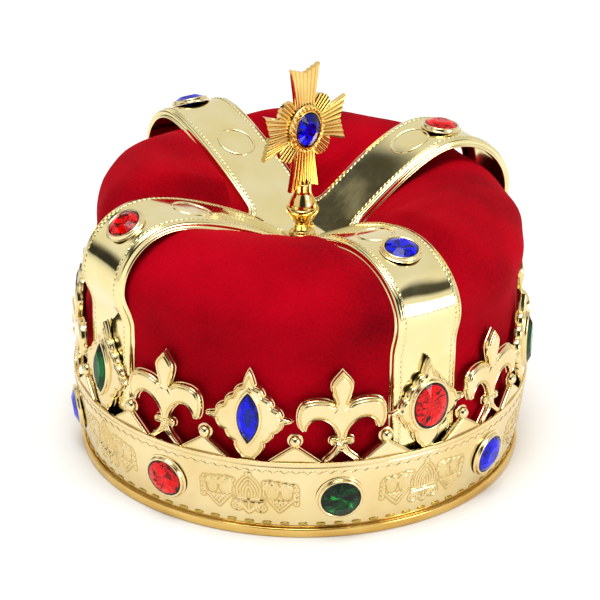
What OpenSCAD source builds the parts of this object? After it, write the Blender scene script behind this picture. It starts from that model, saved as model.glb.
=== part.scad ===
// King's crown: a gold-metallised plastic band with a crest of fleurs-de-lis and lozenge plates,
// an arched sheet over a padded velvet cap, and a star cross that turns on top.
// Millimetres, +Z up. The front of the crown faces -Y, and the rim stands on z = 0.
// Angles round the crown start at the front and run anticlockwise as seen from above.

/* [Head opening] */
// Radius of the head opening inside the sweatband
head_r = 91.9; // [90:0.1:112]
// Thickness of the sweatband strip
sweatband_t = 1.3; // [0.8:0.1:3]
// Height of the sweatband strip
sweatband_h = 26; // [14:1:30]
// How far the sweatband's foot stays above the rim's foot
sweatband_z = 1; // [0.5:0.1:3]
// Thickness of the cap's cloth where it is pressed flat
cap_t = 1.4; // [1:0.1:2.5]
// Thickness of the cap's padded cloth in the puffs
puff_t = 2.4; // [1.6:0.1:4]

/* [Band] */
// Height of the band above the rim
band_h = 33.3; // [28:0.1:45]
// Wall of the band
band_t = 1.6; // [1.2:0.1:2.4]
// Angle by which the band flares outwards
band_flare = 8; // [6:0.5:11]
// Height of the bottom rim
rim_h = 4.2; // [3:0.1:6]
// How far the rim stands out past the band
rim_out = 1.5; // [0.5:0.1:3]

/* [Crest] */
// Thickness of every plate of the crest
crest_t = 3.1; // [2.4:0.1:3.2]
// Height of a fleur-de-lis
fleur_h = 42; // [36:0.5:52]
// Width of a fleur-de-lis over its arms
fleur_w = 37.8; // [32:0.1:38]
// Width of the fleur's spear at its head
spear_w = 9.4; // [7:0.1:12]
// Width of the fleur's spear at its neck
spear_neck_w = 5.2; // [4:0.1:6.5]
// Width of the cross bar on the fleur
bar_w = 10.4; // [7:0.1:13]
// Width of the fleur over its two feet
fleur_foot_w = 15.8; // [12:0.1:16]
// Height of a lozenge plate
lozenge_h = 41.5; // [36:0.5:50]
// Width of a lozenge plate over its side tips
lozenge_w = 37; // [32:0.1:37.6]
// Height of the side tips above the band
lozenge_side_z = 19.3; // [16:0.1:24]
// Width of a gable under a ball
gable_w = 21.6; // [16:0.1:22]
// Height of a gable under a ball
gable_h = 7.2; // [5:0.1:10]
// Diameter of a ball
ball_d = 5.2; // [4:0.1:6.5]

/* [Arches] */
// Width of an arch
arch_w = 31.5; // [24:0.5:34]
// Thickness of the arched sheet
arch_t = 1.8; // [1.2:0.1:2.4]
// Height of the sheet's top at the centre
hub_z = 97; // [92:0.5:104]
// Rise from the centre to where the arches part
hub_rise = 6; // [3:0.5:9]
// Radius of the flat seat at the centre
hub_seat_r = 6.5; // [6:0.1:9]
// Top of each arch: front, right, back, left
arch_peak_z = [119.5, 132, 127, 124.5]; // [115:0.5:150]
// How far each arch's top lies inside its foot
arch_peak_in = [30.7, 28.7, 11, 22.7]; // [10:0.1:40]
// How far each arch bulges out past its foot
arch_bulge = [2.8, 4.3, 14, 4.8]; // [1:0.1:16]
// Height of each arch's widest place
arch_side_z = [96, 103, 103, 98]; // [90:0.5:108]

/* [Velvet cap] */
// Height of the top of the puffs between the arches
puff_z = 122; // [112:0.5:128]
// How far the top of the puffs lies inside the hem
puff_in = 26.6; // [18:0.1:36]
// How far the puffs bulge out past the hem
puff_out = 2.8; // [1:0.1:4]
// Height of the puffs' widest place
puff_side_z = 98; // [92:0.5:104]

/* [Finial] */
// Height of the turned post above its seat
post_h = 24; // [20:0.5:32]
// Radius of the post's neck
neck_r = 3.65; // [3:0.05:4.5]
// Radius of the post's flange
flange_r = 7.25; // [6:0.05:9]
// Radius of the spigot that turns in the sheet
spigot_r = 3; // [2.4:0.1:4]
// Thickness of the plate under the sheet
hub_plate_t = 1.5; // [1:0.1:2.5]
// Radius of the plate under the sheet
hub_plate_r = 12; // [8:0.5:12.5]
// Radius of the screw's shank
screw_r = 1.5; // [1.2:0.1:1.6]
// Radius of the washer inside the cap
washer_r = 8; // [6:0.5:12]
// Height of the star cross
cross_h = 57; // [44:0.5:70]
// Width of the star cross
cross_w = 45; // [36:0.5:56]
// Thickness of the star cross
cross_t = 3; // [2.4:0.1:4]
// Angle to which the finial has been turned
finial_turn = 7; // [-45:1:45]

/* [Gems] */
// Radius of the round gems on the band
band_gem_r = 8.7; // [7:0.1:10]
// Radius of the round gems on the arches
arch_gem_r = 7.3; // [5.5:0.1:9]
// Width and height of the pointed gems
marquise = [9.4, 23.4]; // [8:0.1:25]
// Width and height of the oval gem at the front
oval = [17.6, 21.4]; // [15:0.1:23]
// Width and height of the gem on the cross
cross_gem = [13, 16]; // [10:0.1:18]
// Wall of a bezel round its gem
bezel_w = 1; // [0.8:0.1:1.5]
// How far a bezel stands proud
bezel_t = 2; // [1.4:0.1:3]
// Height of a gem's facets above its girdle
gem_h = 2.2; // [1.5:0.1:3]

/* [Fits] */
// Glue line between fixed pieces
glue_gap = 0.1; // [0.05:0.01:0.2]
// Radial clearance of the turning spigot
run_gap = 0.05; // [0.02:0.01:0.08]
// Space between the finial and what it turns on
swivel_gap = 0.3; // [0.2:0.05:0.6]
// Space between the velvet and the plastic
soft_gap = 0.2; // [0.15:0.01:0.4]

/* [Hidden] */
$fn = 96;
PAIRS = 8;                          // fleurs, lozenges and band gems go round in eights
ARCHES = 4;
GOLD = "khaki";
COLOURS = ["red", "green", "blue"];
// gem colours by place, anticlockwise from the front: 0 red, 1 green, 2 blue
BAND_GEM_COLOUR = [2, 0, 1, 2, 0, 2, 0, 1];
LOZENGE_GEM_COLOUR = [0, 1, 2, 0, 1, 2, 1, 2];
ARCH_GEM_COLOUR = [2, 0, 2, 0];
// where each arch's gem sits between its top and its widest place
GEM_PLACE = [0.17, 0.08, 0.27, 0.33];

// radii from the head outwards, and the band's cone
hem_in_r = head_r + sweatband_t + glue_gap;
hem_r = hem_in_r + cap_t;
arch_foot_r = hem_r + soft_gap + glue_gap + arch_t;
band_in_r = hem_r + soft_gap;
band_r = band_in_r + band_t;
rim_r = band_r + rim_out;
band_top = rim_h + band_h;
band_slope = tan(band_flare);
crest_r = arch_foot_r + crest_t + 0.5;
arch_foot_z = rim_h + (norm([arch_foot_r, arch_w / 2]) + glue_gap - band_in_r) / band_slope;
crest_top = band_top + max(fleur_h, lozenge_h);

// heights at the centre, from the sheet downwards
plate_z = hub_z - arch_t - glue_gap;
cap_top = plate_z - hub_plate_t - soft_gap;
cap_in_z = cap_top - cap_t - 0.1;
washer_z = cap_in_z - swivel_gap;
washer_t = 1.2;
post_z = hub_z + swivel_gap;
neck_top = post_z + post_h;
cross_notch = 3;
cross_z = neck_top + glue_gap + cross_h / 2 - cross_notch;
peg = [1.1, 5];                     // radius and length of the peg that locates the cross

// ---- curves -------------------------------------------------------------------------------

// points of a cubic curve from a to d, without d itself
function curve(a, b, c, d, n = 6) = [for (i = [0:n - 1]) let (t = i / n)
    pow(1 - t, 3) * a + 3 * t * pow(1 - t, 2) * b + 3 * t * t * (1 - t) * c + pow(t, 3) * d];

// n outward bumps of height h along the line from a to b, without b itself
function scallops(a, b, n, h) = let (along = (b - a) / n, side = [-along[1], along[0]] / norm(along))
    [for (i = [0:n - 1], s = [0:4]) let (t = s / 5) a + along * (i + t) + side * 4 * h * t * (1 - t)];

// the right half of an outline, then its mirror image back to the start
function mirrored(half) =
    concat(half, [for (i = [len(half) - 1:-1:0]) if (half[i][0] > 0.01) [-half[i][0], half[i][1]]]);

function reverse(list) = [for (i = [len(list) - 1:-1:0]) list[i]];

// the same path moved sideways by d, to the right of its direction
function offset_path(p, d) = [for (i = [0:len(p) - 1])
    let (way = p[min(i + 1, len(p) - 1)] - p[max(i - 1, 0)], side = [way[1], -way[0]] / norm(way))
    p[i] + side * d];

function ellipse(size, n = 40) =
    [for (i = [0:n - 1]) [size[0] * cos(360 * i / n), size[1] * sin(360 * i / n)] / 2];

// radius of the band's outside at height z
function band_r_at(z) = band_r + (z - rim_h) * band_slope;

// ---- placing ------------------------------------------------------------------------------

// stands a flat shape up at an angle round the crown, its back at radius r and its foot at height z
module stand_at(angle, r, z) {
    rotate([0, 0, angle]) translate([0, -r, z]) rotate([90, 0, 0]) children();
}

// turns a shape's +Z outwards, square to the band, at an angle round the crown and height z
module on_band(angle, z) {
    rotate([0, 0, angle]) translate([0, -band_r_at(z), z]) rotate([90 + band_flare, 0, 0])
        translate([0, 0, glue_gap]) children();
}

// ---- gems ---------------------------------------------------------------------------------

module pointed_oval(size) {
    a = size[0] / 2;
    b = size[1] / 2;
    r = (a * a + b * b) / (2 * a);
    intersection() {
        translate([r - a, 0]) circle(r);
        translate([a - r, 0]) circle(r);
    }
}

// a faceted gem's plain form: a girdle with a stepped crown
module round_gem(r) {
    cylinder(r = r, h = bezel_t - 0.4);
    translate([0, 0, bezel_t - 0.4]) cylinder(r1 = r, r2 = r * 0.6, h = gem_h);
}

module round_bezel(r) {
    difference() {
        cylinder(r = r + glue_gap + bezel_w, h = bezel_t);
        translate([0, 0, -1]) cylinder(r = r + glue_gap, h = bezel_t + 2);
    }
}

// ---- head opening and band ----------------------------------------------------------------

module bottom_rim() {
    round = 1.2;
    color("goldenrod") rotate_extrude() difference() {
        translate([band_in_r, 0]) square([rim_r - band_in_r, rim_h]);
        translate([rim_r - round, rim_h - round]) difference() {
            square(round + 1);
            circle(round);
        }
    }
}

module band() {
    top_shift = band_h * band_slope;
    color(GOLD) rotate_extrude() polygon([[band_in_r, rim_h], [band_r, rim_h],
        [band_r + top_shift, band_top], [band_in_r + top_shift, band_top]]);
}

module sweatband() {
    color("maroon") rotate_extrude() translate([head_r, sweatband_z]) square([sweatband_t, sweatband_h]);
}

// ---- velvet cap ---------------------------------------------------------------------------

cap_peak = [hem_r - puff_in, puff_z];
cap_side = [hem_r + puff_out, puff_side_z];
cap_low_r = hem_r + 0.6;            // the velvet just above the band
cap_low_z = crest_top + 0.5;
cap_flat_r = hub_plate_r + 0.5;
far = rim_r * 2;                    // clear outside the crown
high = hub_z * 2;                   // clear above it

// the space round every arch: margin widens it, depth sinks it further, to_foot takes it down to
// the arch's foot
module arch_channels(margin, depth, to_foot) {
    for (k = [0:ARCHES - 1]) {
        path = offset_path(arch_path(k), arch_t + soft_gap + depth);
        used = to_foot ? path : [for (i = [0:len(path) - 2]) path[i]];
        rotate([0, 0, 90 * k - 90]) rotate([90, 0, 0])
            linear_extrude(arch_w + 2 * (soft_gap + margin), center = true)
            polygon(concat(used, [[far, used[len(used) - 1][1]], [far, high], [0, high]]));
    }
}

module velvet_cap() {
    outside = concat([[0, cap_top]],
        curve([cap_flat_r, cap_top], [cap_flat_r + 10, cap_top + 9], cap_peak - [22, 0], cap_peak),
        curve(cap_peak, cap_peak + [14, 0], cap_side + [0, 10], cap_side),
        curve(cap_side, cap_side - [0, 8], [cap_low_r, cap_low_z + 6], [cap_low_r, cap_low_z], 4),
        [[cap_low_r, cap_low_z], [cap_low_r, band_top + 1], [hem_r, band_top - 1],
        [hem_r, rim_h + 1], [0, rim_h + 1]]);
    in_peak = cap_peak - [0, puff_t];
    in_side = cap_side - [puff_t, 0];
    in_flat = [cap_flat_r + 2, cap_in_z];
    inside = concat([[0, cap_in_z]],
        curve(in_flat, in_flat + [10, 9], in_peak - [22, 0], in_peak),
        curve(in_peak, in_peak + [13, 0], in_side + [0, 10], in_side),
        curve(in_side, in_side - [0, 8], [hem_in_r, cap_low_z + 6], [hem_in_r, cap_low_z], 4),
        [[hem_in_r, cap_low_z], [hem_in_r, 0], [0, 0]]);
    color("crimson") difference() {
        rotate_extrude() polygon(outside);
        difference() {
            rotate_extrude() polygon(inside);
            arch_channels(cap_t, cap_t + 0.3, false);
        }
        arch_channels(0, 0, true);
        translate([0, 0, cap_in_z - 1]) cylinder(r = spigot_r + 0.6, h = cap_t + 3);
    }
}

// ---- arches -------------------------------------------------------------------------------

function arch_peak(k) = [arch_foot_r - arch_peak_in[k], arch_peak_z[k]];
function arch_side(k) = [arch_foot_r + arch_bulge[k], arch_side_z[k]];
// control points from an arch's top to its widest place
function arch_shoulder(k) = [arch_peak(k), arch_peak(k) + [(arch_side(k)[0] - arch_peak(k)[0]) * 0.6, 0],
    arch_side(k) + [0, (arch_peak(k)[1] - arch_side(k)[1]) * 0.5], arch_side(k)];
arch_low_z = crest_top + 1;         // below here the arch runs straight down behind its lozenge

// outside of arch k from the centre to its foot, as radius and height
function arch_path(k) = let (part = [arch_w / 2, hub_z + hub_rise], s = arch_shoulder(k)) concat(
    [[0, hub_z], [hub_seat_r, hub_z]],
    curve(part, part + [10, 10 * hub_rise / (arch_w / 2 - hub_seat_r)], s[0] - [18, 0], s[0], 8),
    curve(s[0], s[1], s[2], s[3], 8),
    curve(s[3], s[3] - [0, 6], [arch_foot_r, arch_low_z + 6], [arch_foot_r, arch_low_z], 4),
    [[arch_foot_r, arch_low_z], [arch_foot_r, arch_foot_z]]);

module arch_sheet() {
    half = arch_w / 2;
    color(GOLD) difference() {
        union() for (k = [0:ARCHES - 1]) {
            outer = arch_path(k);
            rotate([0, 0, 90 * k - 90]) intersection() {
                rotate([90, 0, 0]) linear_extrude(arch_w + 4, center = true)
                    polygon(concat(outer, reverse(offset_path(outer, arch_t))));
                linear_extrude(high)
                    polygon([[0, 0], [half, half], [far, half], [far, -half], [half, -half]]);
            }
        }
        translate([0, 0, plate_z]) cylinder(r = spigot_r + run_gap, h = arch_t + 1);
    }
}

// puts a shape on the outside of arch k, where its gem sits, with +Z square to the sheet
module on_arch(k) {
    s = arch_shoulder(k);
    t = GEM_PLACE[k];
    u = 1 - t;
    p = u * u * u * s[0] + 3 * t * u * u * s[1] + 3 * t * t * u * s[2] + t * t * t * s[3];
    d = u * u * (s[1] - s[0]) + 2 * u * t * (s[2] - s[1]) + t * t * (s[3] - s[2]);
    rotate([0, 0, 90 * k]) translate([0, -p[0], p[1]]) rotate([atan2(-d[1], d[0]), 0, 0])
        translate([0, 0, glue_gap]) children();
}

module hub_plate() {
    color("gray") translate([0, 0, plate_z - hub_plate_t]) difference() {
        cylinder(r = hub_plate_r, h = hub_plate_t);
        translate([0, 0, -1]) cylinder(r = spigot_r + run_gap, h = hub_plate_t + 2);
    }
}

// ---- crest --------------------------------------------------------------------------------

// right half of the fleur-de-lis, from its tip down to its foot
function fleur_half() =
    let (w = fleur_w / 2, h = fleur_h, foot = fleur_foot_w / 2, stem = 1.9, arm_z = h - 12.8,
        neck = [spear_neck_w / 2, h - 15.8], crest = [w - 6.4, arm_z], curl = [w - 3, arm_z - 14.5])
    concat([[0, h], [spear_w / 2, h - 6.4]],
        curve(neck, neck + [2, 2.4], crest - [4, -0.2], crest, 5),
        curve(crest, crest + [4.3, -0.2], [w, arm_z - 3.2], [w, arm_z - 7.7]),
        curve([w, arm_z - 7.7], [w, arm_z - 11.7], curl + [1.9, 0], curl, 5),
        curve(curl + [-1.3, 1.3], curl + [-1.5, 3.7], curl + [-3.3, 5.2], curl + [-5.6, 5.2], 5),
        curve(curl + [-5.6, 5.2], curl + [-9.4, 5.2], [stem + 0.5, 15.5], [stem, 11]),
        [[stem, 11], [bar_w / 2, 11], [bar_w / 2, 7.8]],
        curve([stem, 7.8], [stem + 0.5, 4.8], [foot - 2.8, 2.6], [foot, 0.6], 5),
        [[foot, 0], [foot - 2.7, 0], [0, 4.5]]);

module fleur(i) {
    color(GOLD) stand_at(360 * (i + 0.5) / PAIRS, crest_r - crest_t, band_top)
        linear_extrude(crest_t) polygon(mirrored(fleur_half()));
}

// right half of the lozenge plate: spear, three scallops, side tip, two scallops and a round lobe
function lozenge_half() =
    let (w = lozenge_w / 2, h = lozenge_h, foot = 2.8,
         side = [w - 4, lozenge_side_z + 1.5], low = [6.3, 7.7])
    concat([[0, h], [1.5, h - 3]],
        scallops([2.75, h - 7.3], side, 3, 1),
        [side, [w - 0.6, lozenge_side_z + 0.6], [w, lozenge_side_z], [w - 0.6, lozenge_side_z - 0.6]],
        scallops(side - [0, 3.4], low, 2, 1),
        curve(low, low + [0.6, -2.6], [foot + 2, 2], [foot, 0.8], 5),
        [[foot, 0]]);

module lozenge(i) {
    color(GOLD) stand_at(360 * i / PAIRS, crest_r - crest_t, band_top)
        linear_extrude(crest_t) polygon(mirrored(lozenge_half()));
}

// a ball on a gable, sixteen of them, one between each fleur and lozenge;
// a gable beside an arch passes in front of the arch's corner
module ball_points() {
    step = 180 / PAIRS;
    gable_back_r = (arch_foot_r + glue_gap) * cos(step / 2) + arch_w / 2 * sin(step / 2);
    gable_t = crest_r - gable_back_r;
    ball_z = gable_h + ball_d / 2 - 0.2;
    color(GOLD) for (i = [0:2 * PAIRS - 1])
        stand_at(step * (i + 0.5), gable_back_r, band_top) {
            linear_extrude(gable_t)
                polygon([[-gable_w / 2, 0], [gable_w / 2, 0], [0.8, gable_h], [-0.8, gable_h]]);
            translate([0, ball_z, gable_t / 2]) sphere(d = ball_d);
        }
}

// ---- stones and their bezels --------------------------------------------------------------

band_gem_z = 19.7;
lozenge_gem_z = band_top + lozenge_side_z + 0.7;

module band_bezels() {
    color(GOLD) for (i = [0:PAIRS - 1])
        on_band(360 * (i + 0.5) / PAIRS, band_gem_z) round_bezel(band_gem_r);
}

module band_gem(i) {
    color(COLOURS[BAND_GEM_COLOUR[i]])
        on_band(360 * (i + 0.5) / PAIRS, band_gem_z) round_gem(band_gem_r);
}

module arch_bezels() {
    color(GOLD) for (k = [0:ARCHES - 1]) on_arch(k) round_bezel(arch_gem_r);
}

module arch_gem(k) { color(COLOURS[ARCH_GEM_COLOUR[k]]) on_arch(k) round_gem(arch_gem_r); }

module oval_bezel() {
    size = oval + [2, 2] * glue_gap;
    color(GOLD) stand_at(0, crest_r + glue_gap, lozenge_gem_z) linear_extrude(bezel_t) difference() {
        polygon(ellipse(size + [2, 2] * bezel_w));
        polygon(ellipse(size));
    }
}

module marquise_bezels() {
    size = marquise + [2, 2] * glue_gap;
    color(GOLD) for (i = [1:PAIRS - 1])
        stand_at(360 * i / PAIRS, crest_r + glue_gap, lozenge_gem_z) linear_extrude(bezel_t) difference() {
            pointed_oval(size + [2, 3] * bezel_w);
            pointed_oval(size + [0, 0.4]);
        }
}

module lozenge_gem(i) {
    color(COLOURS[LOZENGE_GEM_COLOUR[i]]) stand_at(360 * i / PAIRS, crest_r + glue_gap, lozenge_gem_z)
        if (i == 0) {
            linear_extrude(bezel_t - 0.4) polygon(ellipse(oval));
            translate([0, 0, bezel_t - 0.4]) linear_extrude(gem_h - 0.4) polygon(ellipse(oval * 0.7));
        } else {
            linear_extrude(bezel_t - 0.4) pointed_oval(marquise);
            translate([0, 0, bezel_t - 0.4]) linear_extrude(gem_h - 0.4) pointed_oval(marquise * 0.6);
        }
}

// ---- finial -------------------------------------------------------------------------------

pin_z = post_z + 3.6;
pin_turn = 57;                      // the pin's place round the post
pin_r = 0.8;
waist_r = 3.5;

module finial_post() {
    neck = [[neck_r, 20.5], [neck_r, post_h], [0, post_h]];
    color("gold") difference() {
        union() {
            translate([0, 0, post_z]) rotate_extrude() polygon(concat(
                [[0, 0], [5.8, 0], [5.3, 0.8], [waist_r, 2.2], [waist_r, 5], [4.8, 6.2], [flange_r - 0.9, 9],
                [flange_r, 11], [flange_r, 12.4], [5.9, 15], [4.5, 17.8]], neck));
            translate([0, 0, washer_z]) cylinder(r = spigot_r, h = post_z - washer_z);
            translate([0, 0, neck_top - 1]) cylinder(r = peg[0], h = peg[1] + 1);
        }
        translate([0, 0, washer_z - 1]) cylinder(r = screw_r + run_gap, h = 12);
        on_waist() cylinder(r = pin_r + run_gap, h = 4);
    }
}

// turns +Z outwards through the post's waist; the pin's shank starts 1.8 mm inside it
module on_waist() {
    rotate([0, 0, pin_turn]) translate([0, 1.8 - waist_r, pin_z]) rotate([90, 0, 0]) children();
}

module neck_pin() {
    head_z = 1.8 + glue_gap;
    color("gold") on_waist() {
        translate([0, 0, glue_gap]) cylinder(r = pin_r, h = head_z);
        translate([0, 0, head_z]) cylinder(r = 1.35, h = 1);
        translate([0, 0, head_z + 1]) cylinder(r1 = 1.35, r2 = 0.7, h = 0.7);
    }
}

// one flared arm of the cross along +Y, from the centre to its notched end
module cross_arm(length, tip_w, root_w) {
    polygon([[root_w / 2, 0], [root_w / 2, 8], [tip_w / 2, length], [0, length - cross_notch],
        [-tip_w / 2, length], [-root_w / 2, 8], [-root_w / 2, 0]]);
}

module star_cross() {
    ray = 17.5;                     // length of the short rays between the arms
    ray_w = 8.8;
    color("gold") difference() {
        stand_at(finial_turn, -cross_t / 2, cross_z) linear_extrude(cross_t) {
            for (turn = [0, 180]) rotate(turn) cross_arm(cross_h / 2, 16, 10);
            for (turn = [90, 270]) rotate(turn) cross_arm(cross_w / 2, 21, 9);
            for (turn = [45:90:315]) rotate(turn) polygon([[ray_w / 2, 0], [ray_w / 2, ray - 2],
                [2.5, ray], [-2.5, ray], [-ray_w / 2, ray - 2], [-ray_w / 2, 0]]);
        }
        translate([0, 0, neck_top - 10]) cylinder(r = neck_r + glue_gap, h = 10 + glue_gap);
        translate([0, 0, neck_top - 1]) cylinder(r = peg[0] + run_gap, h = peg[1] + 1 + glue_gap);
    }
}

module cross_bezel() {
    size = cross_gem + [2, 2] * glue_gap;
    color("gold") stand_at(finial_turn, cross_t / 2 + glue_gap, cross_z)
        linear_extrude(bezel_t) difference() {
        polygon(ellipse(size + [6, 6]));
        polygon(ellipse(size));
    }
}

module cross_gem() {
    color("blue") stand_at(finial_turn, cross_t / 2 + glue_gap, cross_z) {
        linear_extrude(bezel_t) polygon(ellipse(cross_gem));
        translate([0, 0, bezel_t]) linear_extrude(gem_h - 0.4) polygon(ellipse(cross_gem * 0.7));
    }
}

module finial_washer() {
    color("silver") translate([0, 0, washer_z - washer_t]) difference() {
        cylinder(r = washer_r, h = washer_t);
        translate([0, 0, -1]) cylinder(r = screw_r + run_gap, h = washer_t + 2);
    }
}

module finial_screw() {
    head = [2.8, 2];                // radius and height
    shank = 8;                      // length above the washer
    color("silver") difference() {
        translate([0, 0, washer_z - washer_t - head[1]]) {
            cylinder(r = head[0], h = head[1]);
            cylinder(r = screw_r, h = head[1] + washer_t + shank);
        }
        translate([0, 0, washer_z - washer_t - head[1] - 1]) for (turn = [0, 90])
            rotate(turn) translate([-1.8, -0.3, 0]) cube([3.6, 0.6, 2.2]);
    }
}

// ---- what is drawn ------------------------------------------------------------------------

bottom_rim();
band();
sweatband();
velvet_cap();
arch_sheet();
hub_plate();
ball_points();
for (i = [0:PAIRS - 1]) fleur(i);
for (i = [0:PAIRS - 1]) lozenge(i);
band_bezels();
oval_bezel();
marquise_bezels();
arch_bezels();
for (i = [0:PAIRS - 1]) band_gem(i);
for (i = [0:PAIRS - 1]) lozenge_gem(i);
for (k = [0:ARCHES - 1]) arch_gem(k);
finial_post();
neck_pin();
star_cross();
cross_bezel();
cross_gem();
finial_screw();
finial_washer();
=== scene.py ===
"""A costume king's crown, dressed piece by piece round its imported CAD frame.

Works in millimetres inside each section; every piece is turned to metres as it is made.
The front of the crown faces -Y, and angles run anticlockwise from there as seen from above.
"""

import math

import bmesh
import bpy
import numpy as np
from mathutils import Matrix, Vector
from mathutils.geometry import delaunay_2d_cdt


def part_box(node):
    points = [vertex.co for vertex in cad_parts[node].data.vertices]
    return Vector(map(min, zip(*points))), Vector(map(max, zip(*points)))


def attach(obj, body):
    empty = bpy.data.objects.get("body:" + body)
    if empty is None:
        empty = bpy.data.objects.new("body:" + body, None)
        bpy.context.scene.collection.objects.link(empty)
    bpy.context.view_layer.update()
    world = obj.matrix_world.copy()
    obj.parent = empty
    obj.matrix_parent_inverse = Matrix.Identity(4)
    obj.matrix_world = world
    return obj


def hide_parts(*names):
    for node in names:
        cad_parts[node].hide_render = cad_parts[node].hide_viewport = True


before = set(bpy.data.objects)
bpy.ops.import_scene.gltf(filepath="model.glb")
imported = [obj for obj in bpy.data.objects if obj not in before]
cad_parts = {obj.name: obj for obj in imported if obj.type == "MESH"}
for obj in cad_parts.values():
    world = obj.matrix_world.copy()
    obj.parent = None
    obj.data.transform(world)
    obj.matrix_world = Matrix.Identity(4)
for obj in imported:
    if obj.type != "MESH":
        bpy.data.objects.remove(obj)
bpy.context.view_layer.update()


# ---- studio -------------------------------------------------------------------------------
# A white paper sweep under a soft overhead light, with a small one in front of it. The room is white
# but for a dark band high on its walls and two dark patches, which the plating mirrors.

def hex_colour(code):
    """An sRGB hex colour as linear red, green, blue and alpha."""
    channels = [int(code[i:i + 2], 16) / 255 for i in (1, 3, 5)]
    return [c / 12.92 if c <= 0.04045 else ((c + 0.055) / 1.055) ** 2.4 for c in channels] + [1.0]


def add(tree, kind, settings=None, inputs=None):
    """Adds a node with its own settings; each input takes a number, a hex colour or another node's
    output, and a colour ramp's stops are (place, colour) pairs."""
    made = tree.nodes.new(kind)
    for key, value in (settings or {}).items():
        if key != "stops":
            setattr(made, key, value)
            continue
        elements = made.color_ramp.elements
        while len(elements) < len(value):
            elements.new(1.0)
        for element, (place, colour) in zip(elements, value):
            element.position, element.color = place, hex_colour(colour)
    for key, value in (inputs or {}).items():
        if isinstance(value, bpy.types.NodeSocket):
            tree.links.new(value, made.inputs[key])
        else:
            made.inputs[key].default_value = hex_colour(value) if str(value).startswith("#") else value
    return made


def new_material(name):
    """An empty node material, its tree, and the piece's own coordinates."""
    material = bpy.data.materials.new(name)
    material.use_nodes = True
    material.node_tree.nodes.clear()
    return material, material.node_tree, add(material.node_tree, "ShaderNodeTexCoord").outputs["Object"]


def close_material(tree, shader):
    """Ends a material's tree with its shader."""
    add(tree, "ShaderNodeOutputMaterial", None, {"Surface": shader.outputs[0]})


def show(thing):
    """Puts an object in the scene."""
    bpy.context.scene.collection.objects.link(thing)
    return thing


def direction(turn, rise):
    """The way from the crown to a place in the room: degrees anticlockwise from its front, and up."""
    turn, rise = math.radians(turn), math.radians(rise)
    return Vector((math.sin(turn) * math.cos(rise), -math.cos(turn) * math.cos(rise), math.sin(rise)))


camera_turn, camera_rise, camera_distance = -32.8, 25.73, 1.3
camera_target = Vector((-0.0004, 0.0003, 0.0644))
camera_roll = math.radians(-0.85)
towards_camera, camera_right = direction(camera_turn, camera_rise), direction(camera_turn + 90, 0)
camera_up = towards_camera.cross(camera_right)
rolled_right = camera_right * math.cos(camera_roll) - camera_up * math.sin(camera_roll)
rolled_up = camera_up * math.cos(camera_roll) + camera_right * math.sin(camera_roll)
camera = show(bpy.data.objects.new("camera", bpy.data.cameras.new("camera")))
camera.matrix_world = Matrix.Translation(camera_target + towards_camera * camera_distance) @ Matrix(
    (rolled_right, rolled_up, towards_camera)).transposed().to_4x4()
camera.data.lens = 176.04
camera.data.sensor_width = 36
camera.data.clip_end = 20
bpy.context.scene.camera = camera
bpy.context.scene.view_settings.view_transform = "Standard"

world = bpy.data.worlds.new("studio_room")
world.use_nodes = True
world.node_tree.nodes.clear()
room = world.node_tree
room_way = add(room, "ShaderNodeTexCoord").outputs["Generated"]
room_height = add(room, "ShaderNodeSeparateXYZ", None, {"Vector": room_way})
room_place = add(room, "ShaderNodeMapRange", None, {
    "Value": room_height.outputs["Z"], "From Min": -1, "From Max": 1})
room_light = add(room, "ShaderNodeValToRGB", {"stops": [
    (0.0, "#F2F2F2"), (0.47, "#DCDCDC"), (0.50, "#F4F4F4"), (0.76, "#FFFFFF"), (0.80, "#4A4A48"),
    (0.865, "#565654"), (0.90, "#FFFFFF")]}, {"Fac": room_place.outputs["Result"]})


def room_patch(turn, rise, wide):
    """1 inside a soft-edged round patch of the room's walls, 0 outside; degrees."""
    facing = add(room, "ShaderNodeVectorMath", {"operation": "DOT_PRODUCT"}, {
        0: room_way, 1: direction(turn, rise)})
    return add(room, "ShaderNodeMapRange", {"interpolation_type": "SMOOTHSTEP"}, {
        "Value": facing.outputs["Value"], "From Min": math.cos(math.radians(wide)),
        "From Max": math.cos(math.radians(wide * 0.7))}).outputs["Result"]


lit_wall = add(room, "ShaderNodeMix", {"data_type": "RGBA"}, {
    0: room_patch(132, 42, 44), 6: room_light.outputs["Color"], 7: "#F2F2F2"})
dark_share = add(room, "ShaderNodeMath", {"operation": "MAXIMUM"}, {
    0: room_patch(-33, 27, 30), 1: room_patch(-150, -10, 27)})
room_shade = add(room, "ShaderNodeMix", {"data_type": "RGBA"}, {
    0: dark_share.outputs[0], 6: lit_wall.outputs[2], 7: "#343432"})
add(room, "ShaderNodeOutputWorld", None, {"Surface": add(room, "ShaderNodeBackground", None, {
    "Color": room_shade.outputs[2], "Strength": 1.0}).outputs[0]})
bpy.context.scene.world = world


def soft_light(name, place, size, power):
    """A square soft box that looks at the crown."""
    light = bpy.data.lights.new(name, "AREA")
    light.size = size
    light.energy = power
    lamp = show(bpy.data.objects.new(name, light))
    lamp.matrix_world = Matrix.Translation(place) @ (Vector(place) - camera_target).to_track_quat(
        "Z", "Y").to_matrix().to_4x4()


soft_light("overhead_light", (-0.3, -0.2, 1.9), 1.1, 24)
soft_light("side_light", (0.58, -1.45, 0.42), 0.6, 7)

floor_mesh = bpy.data.meshes.new("paper_floor")
floor_mesh.from_pydata([(-6, -6, 0), (6, -6, 0), (6, 6, 0), (-6, 6, 0)], [], [(0, 1, 2, 3)])
paper, paper_tree, _ = new_material("white_paper")
close_material(paper_tree, add(paper_tree, "ShaderNodeBsdfPrincipled", None, {
    "Base Color": "#F6F6F5", "Roughness": 0.9, "Specular IOR Level": 0.1}))
floor_mesh.materials.append(paper)
show(bpy.data.objects.new("paper_floor", floor_mesh))


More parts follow.
